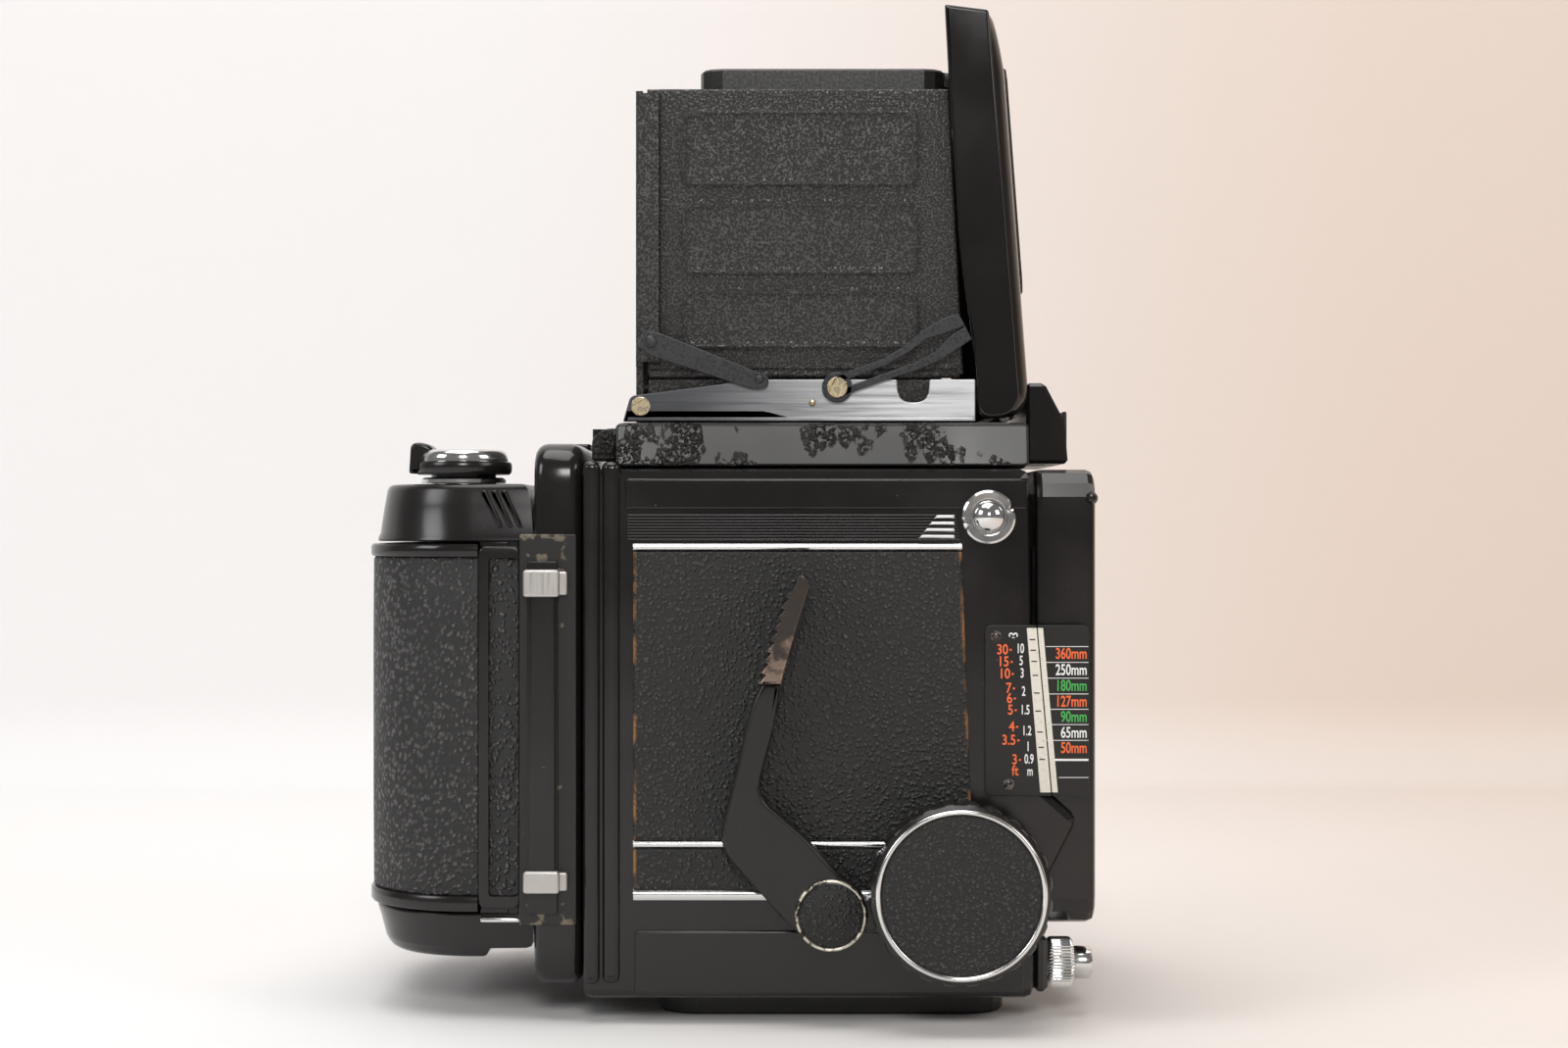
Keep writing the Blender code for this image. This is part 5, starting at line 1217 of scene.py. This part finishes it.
# ---------------------------------------------------------------------------
# Lid. The hood's front panel: a glossy black pressing with side flanges that
# narrow to points, hinged on a cross pin, with a raised plate on its front.

LID_GLOSS = lacquer("lid_gloss", (0.006, 0.0054, 0.005), 0.06, 0.13, 0.76)


def face_x(z):
    """Rear face of the lid panel, which leans back as it rises."""
    return 62.0 - (z - 131.7) * 0.075


z = np.linspace(131.3, 221.6, 90)[:, None]
v = np.linspace(-1.0, 1.0, 61)[None, :]
shoulder = np.clip((z - 209.0) / 12.6, 0, 1)
half = 41.3 - 3.5 * shoulder ** 3 + 0 * v
y = v * half
roll = np.clip((np.abs(y) - half + 6.0) / 6.0, 0, 1)
crest = np.clip((z - 219.6) / 2.0, 0, 1)
foot = np.clip((138.3 - z) / 7.0, 0, 1)
tuck = 5.5 * (1 - np.sqrt(np.clip(1 - foot ** 2, 0, 1)))
swell = np.clip((221.8 - z) / 14.0, 0, 1) ** 0.6
x_out = (face_x(z) + 2.4 + swell * (2.0 + 0.7 * (1 - v ** 2))
         - 3.0 * roll ** 2.4 - 0.8 * crest ** 2 - tuck)
x_in = face_x(z) + 0.3 * crest - 0.3 * roll - tuck
outer = np.stack([x_out, y, z + 0 * y], -1)
inner = np.stack([x_in + 0 * y, y * 0.985, z + 0 * y], -1)
panel = two_sided(outer, inner)
shell = [panel]
for side in (-1, 1):
    edge = [(face_x(131.3) + 2.0, 131.2, 6.0), (face_x(219.0) + 1.6, 220.6,
                                                0.8),
            (47.4, 221.8, 0.6), (48.3, 205.0, 1.0), (50.8, 166.8, 6.0),
            (54.4, 142.0, 2.5), (54.8, 131.2, 3.0)]
    shell.append(plate(soft_outline(edge, 8), side * 39.6, side * 41.5,
                       0.7, "Y", 4))
    shell.append(plate(soft_outline([(58.4, 131.0, 1.6), (63.6, 131.0, 1.6),
                                     (63.2, 139.5, 1.0), (58.8, 139.5, 1.0)],
                                    5), side * 31.1, side * 32.9, 0.3))
piece("lid_shell", joined(*shell), "hood_lid", LID_GLOSS, ["hood_lid"])
a, b = 158.0, 213.0
zs, vs = np.linspace(a, b, 24)[:, None], np.linspace(-1, 1, 31)[None, :]
ease = np.clip(np.minimum(zs - a, b - zs) / 3.0, 0, 1)
half = 22.0 + 3.0 * ease + 0 * vs
proud = 4.2 * np.clip(ease * 1.2, 0, 1) * np.clip((1 - np.abs(vs)) / 0.05, 0,
                                                  1) ** 0.5
front = np.stack([face_x(zs) + 4.3 + proud * 0.5, vs * half, zs + 0 * vs],
                 -1)
back = np.stack([face_x(zs) + 3.6 + 0 * proud, vs * half, zs + 0 * vs], -1)
piece("lid_front_plate", two_sided(front, back), "hood_lid",
      pebbled("lid_grain", 1000.0, 0.0002, (0.02, 0.019, 0.018)))
pin = turned([(0.0, -33.8), (1.1, -33.8), (1.3, -33.5), (1.3, 33.5),
              (1.1, 33.8), (0.0, 33.8)], (61.0, 0.0, 131.7), "Y", 24)
piece("lid_hinge_pin", pin, "camera_body", TURNED_STEEL)

# ---------------------------------------------------------------------------
# Magnifier. A cast arm under the top of the lid that carries a ground lens.

dress("magnifier_frame", satin("magnifier_black", (0.015, 0.014, 0.013),
                               0.4))
glass = bpy.data.materials.new("magnifier_glass")
glass.use_nodes = True
shader = glass.node_tree.nodes["Principled BSDF"]
shader.inputs["Base Color"].default_value = (0.97, 0.99, 1.0, 1.0)
shader.inputs["Roughness"].default_value = 0.01
shader.inputs["IOR"].default_value = 1.52
shader.inputs["Transmission Weight"].default_value = 1.0
dress("magnifier_lens", glass)
retainer = ring_of([(19.4, 209.4), (20.4, 209.4), (21.4, 209.6),
                    (21.8, 210.1), (21.4, 210.4), (20.2, 210.3),
                    (19.4, 210.0)], (19.0, 0.0, 0.0), "Z", 96)
piece("lens_retainer", retainer, "magnifier", STAY_BLACK)

# ---------------------------------------------------------------------------
# Stage. A pale sweep that turns up softly behind the camera, painted warmer
# and darker on its right as painted light, and clear from behind, with broad
# lamps overhead and to each side.


def sweep_profile(t):
    """Floor to wall: level, a quarter turn of radius 0.035, then upright."""
    reach, radius, start = 0.44, 0.035, -3.0
    flat = start + np.clip(t / 0.3, 0, 1) * (reach - start)
    turn = np.clip((t - 0.3) / 0.4, 0, 1) * math.pi / 2
    rise = np.clip((t - 0.7) / 0.3, 0, 1) * 2.6
    return flat + radius * np.sin(turn), radius * (1 - np.cos(turn)) + rise


t = np.linspace(0.0, 1.0, 81)[:, None]
y, z = sweep_profile(t)
x = np.linspace(-3.0, 3.0, 21)[None, :]
grid = np.stack([x + 0 * t, y + 0 * x, z + 0 * x], -1)
mesh = bpy.data.meshes.new("sweep")
mesh.from_pydata(grid.reshape(-1, 3).tolist(), [],
                 strips(len(t), x.shape[1], False, False))
mesh.polygons.foreach_set("use_smooth", [True] * len(mesh.polygons))
sweep = bpy.data.objects.new("sweep", mesh)
bpy.context.scene.collection.objects.link(sweep)
paper, tree, shader, where = paint("paper", (0.9, 0.88, 0.87), 0.9, 0.0, 0.1)
# Painted light: the paper is coloured warmer and darker towards the right.
painted_warm_falloff = between(tree, along(tree, where, "X"), -0.14, 0.3)
high = between(tree, along(tree, where, "Z"), 0.0, 0.03)
floor = blend_colour(tree, painted_warm_falloff, (0.89, 0.89, 0.89), (0.82, 0.75, 0.7))
wall = blend_colour(tree, painted_warm_falloff, (0.9, 0.885, 0.885), (0.83, 0.72, 0.645))
tint(tree, shader, high, floor, wall)
away = tree.nodes.new("ShaderNodeMixShader")
tree.links.new(tree.nodes.new("ShaderNodeNewGeometry").outputs["Backfacing"],
               away.inputs["Fac"])
tree.links.new(shader.outputs["BSDF"], away.inputs[1])
clear = tree.nodes.new("ShaderNodeBsdfTransparent")
tree.links.new(clear.outputs["BSDF"], away.inputs[2])
tree.links.new(away.outputs["Shader"],
               tree.nodes["Material Output"].inputs["Surface"])
mesh.materials.append(paper)

for name, place, aim, size, power, tone in (
        ("lamp_top", (-0.1, -0.15, 1.3), (0.0, 0.0, 0.1), 0.9, 8.2,
         (1.0, 0.985, 0.97)),
        ("lamp_left", (-1.1, -0.7, 0.75), (0.0, 0.0, 0.1), 0.5, 4.6,
         (0.98, 0.99, 1.0)),
        ("lamp_front", (0.05, -1.25, 0.66), (0.0, 0.0, 0.1), 0.32, 5.0,
         (1.0, 0.99, 0.98)),
        ("lamp_right", (1.1, -0.6, 0.7), (0.0, 0.0, 0.1), 0.5, 3.2,
         (1.0, 0.97, 0.93)),
        ("lamp_back", (-0.2, 0.1, 1.6), (0.0, 0.55, 0.3), 1.0, 2.5,
         (1.0, 0.99, 0.98))):
    lamp = bpy.data.lights.new(name, "AREA")
    lamp.size, lamp.energy, lamp.color = size, power, tone
    obj = bpy.data.objects.new(name, lamp)
    obj.location = place
    way = mathutils.Vector(aim) - mathutils.Vector(place)
    obj.rotation_euler = way.to_track_quat("-Z", "Y").to_euler()
    bpy.context.scene.collection.objects.link(obj)
world = bpy.data.worlds.new("room")
world.use_nodes = True
sky = world.node_tree.nodes["Background"]
sky.inputs["Color"].default_value = (1.0, 0.97, 0.95, 1.0)
sky.inputs["Strength"].default_value = 0.19
bpy.context.scene.world = world
bpy.context.scene.view_settings.view_transform = "Standard"

lens = bpy.data.cameras.new("view")
lens.lens, lens.sensor_width = 58.6, 36.0
lens.clip_start = 0.02
eye = bpy.data.objects.new("view", lens)
eye.location = (0.0122, -0.600, 0.108)
eye.rotation_euler = (math.pi / 2, 0.0, 0.0)
bpy.context.scene.collection.objects.link(eye)
bpy.context.scene.camera = eye
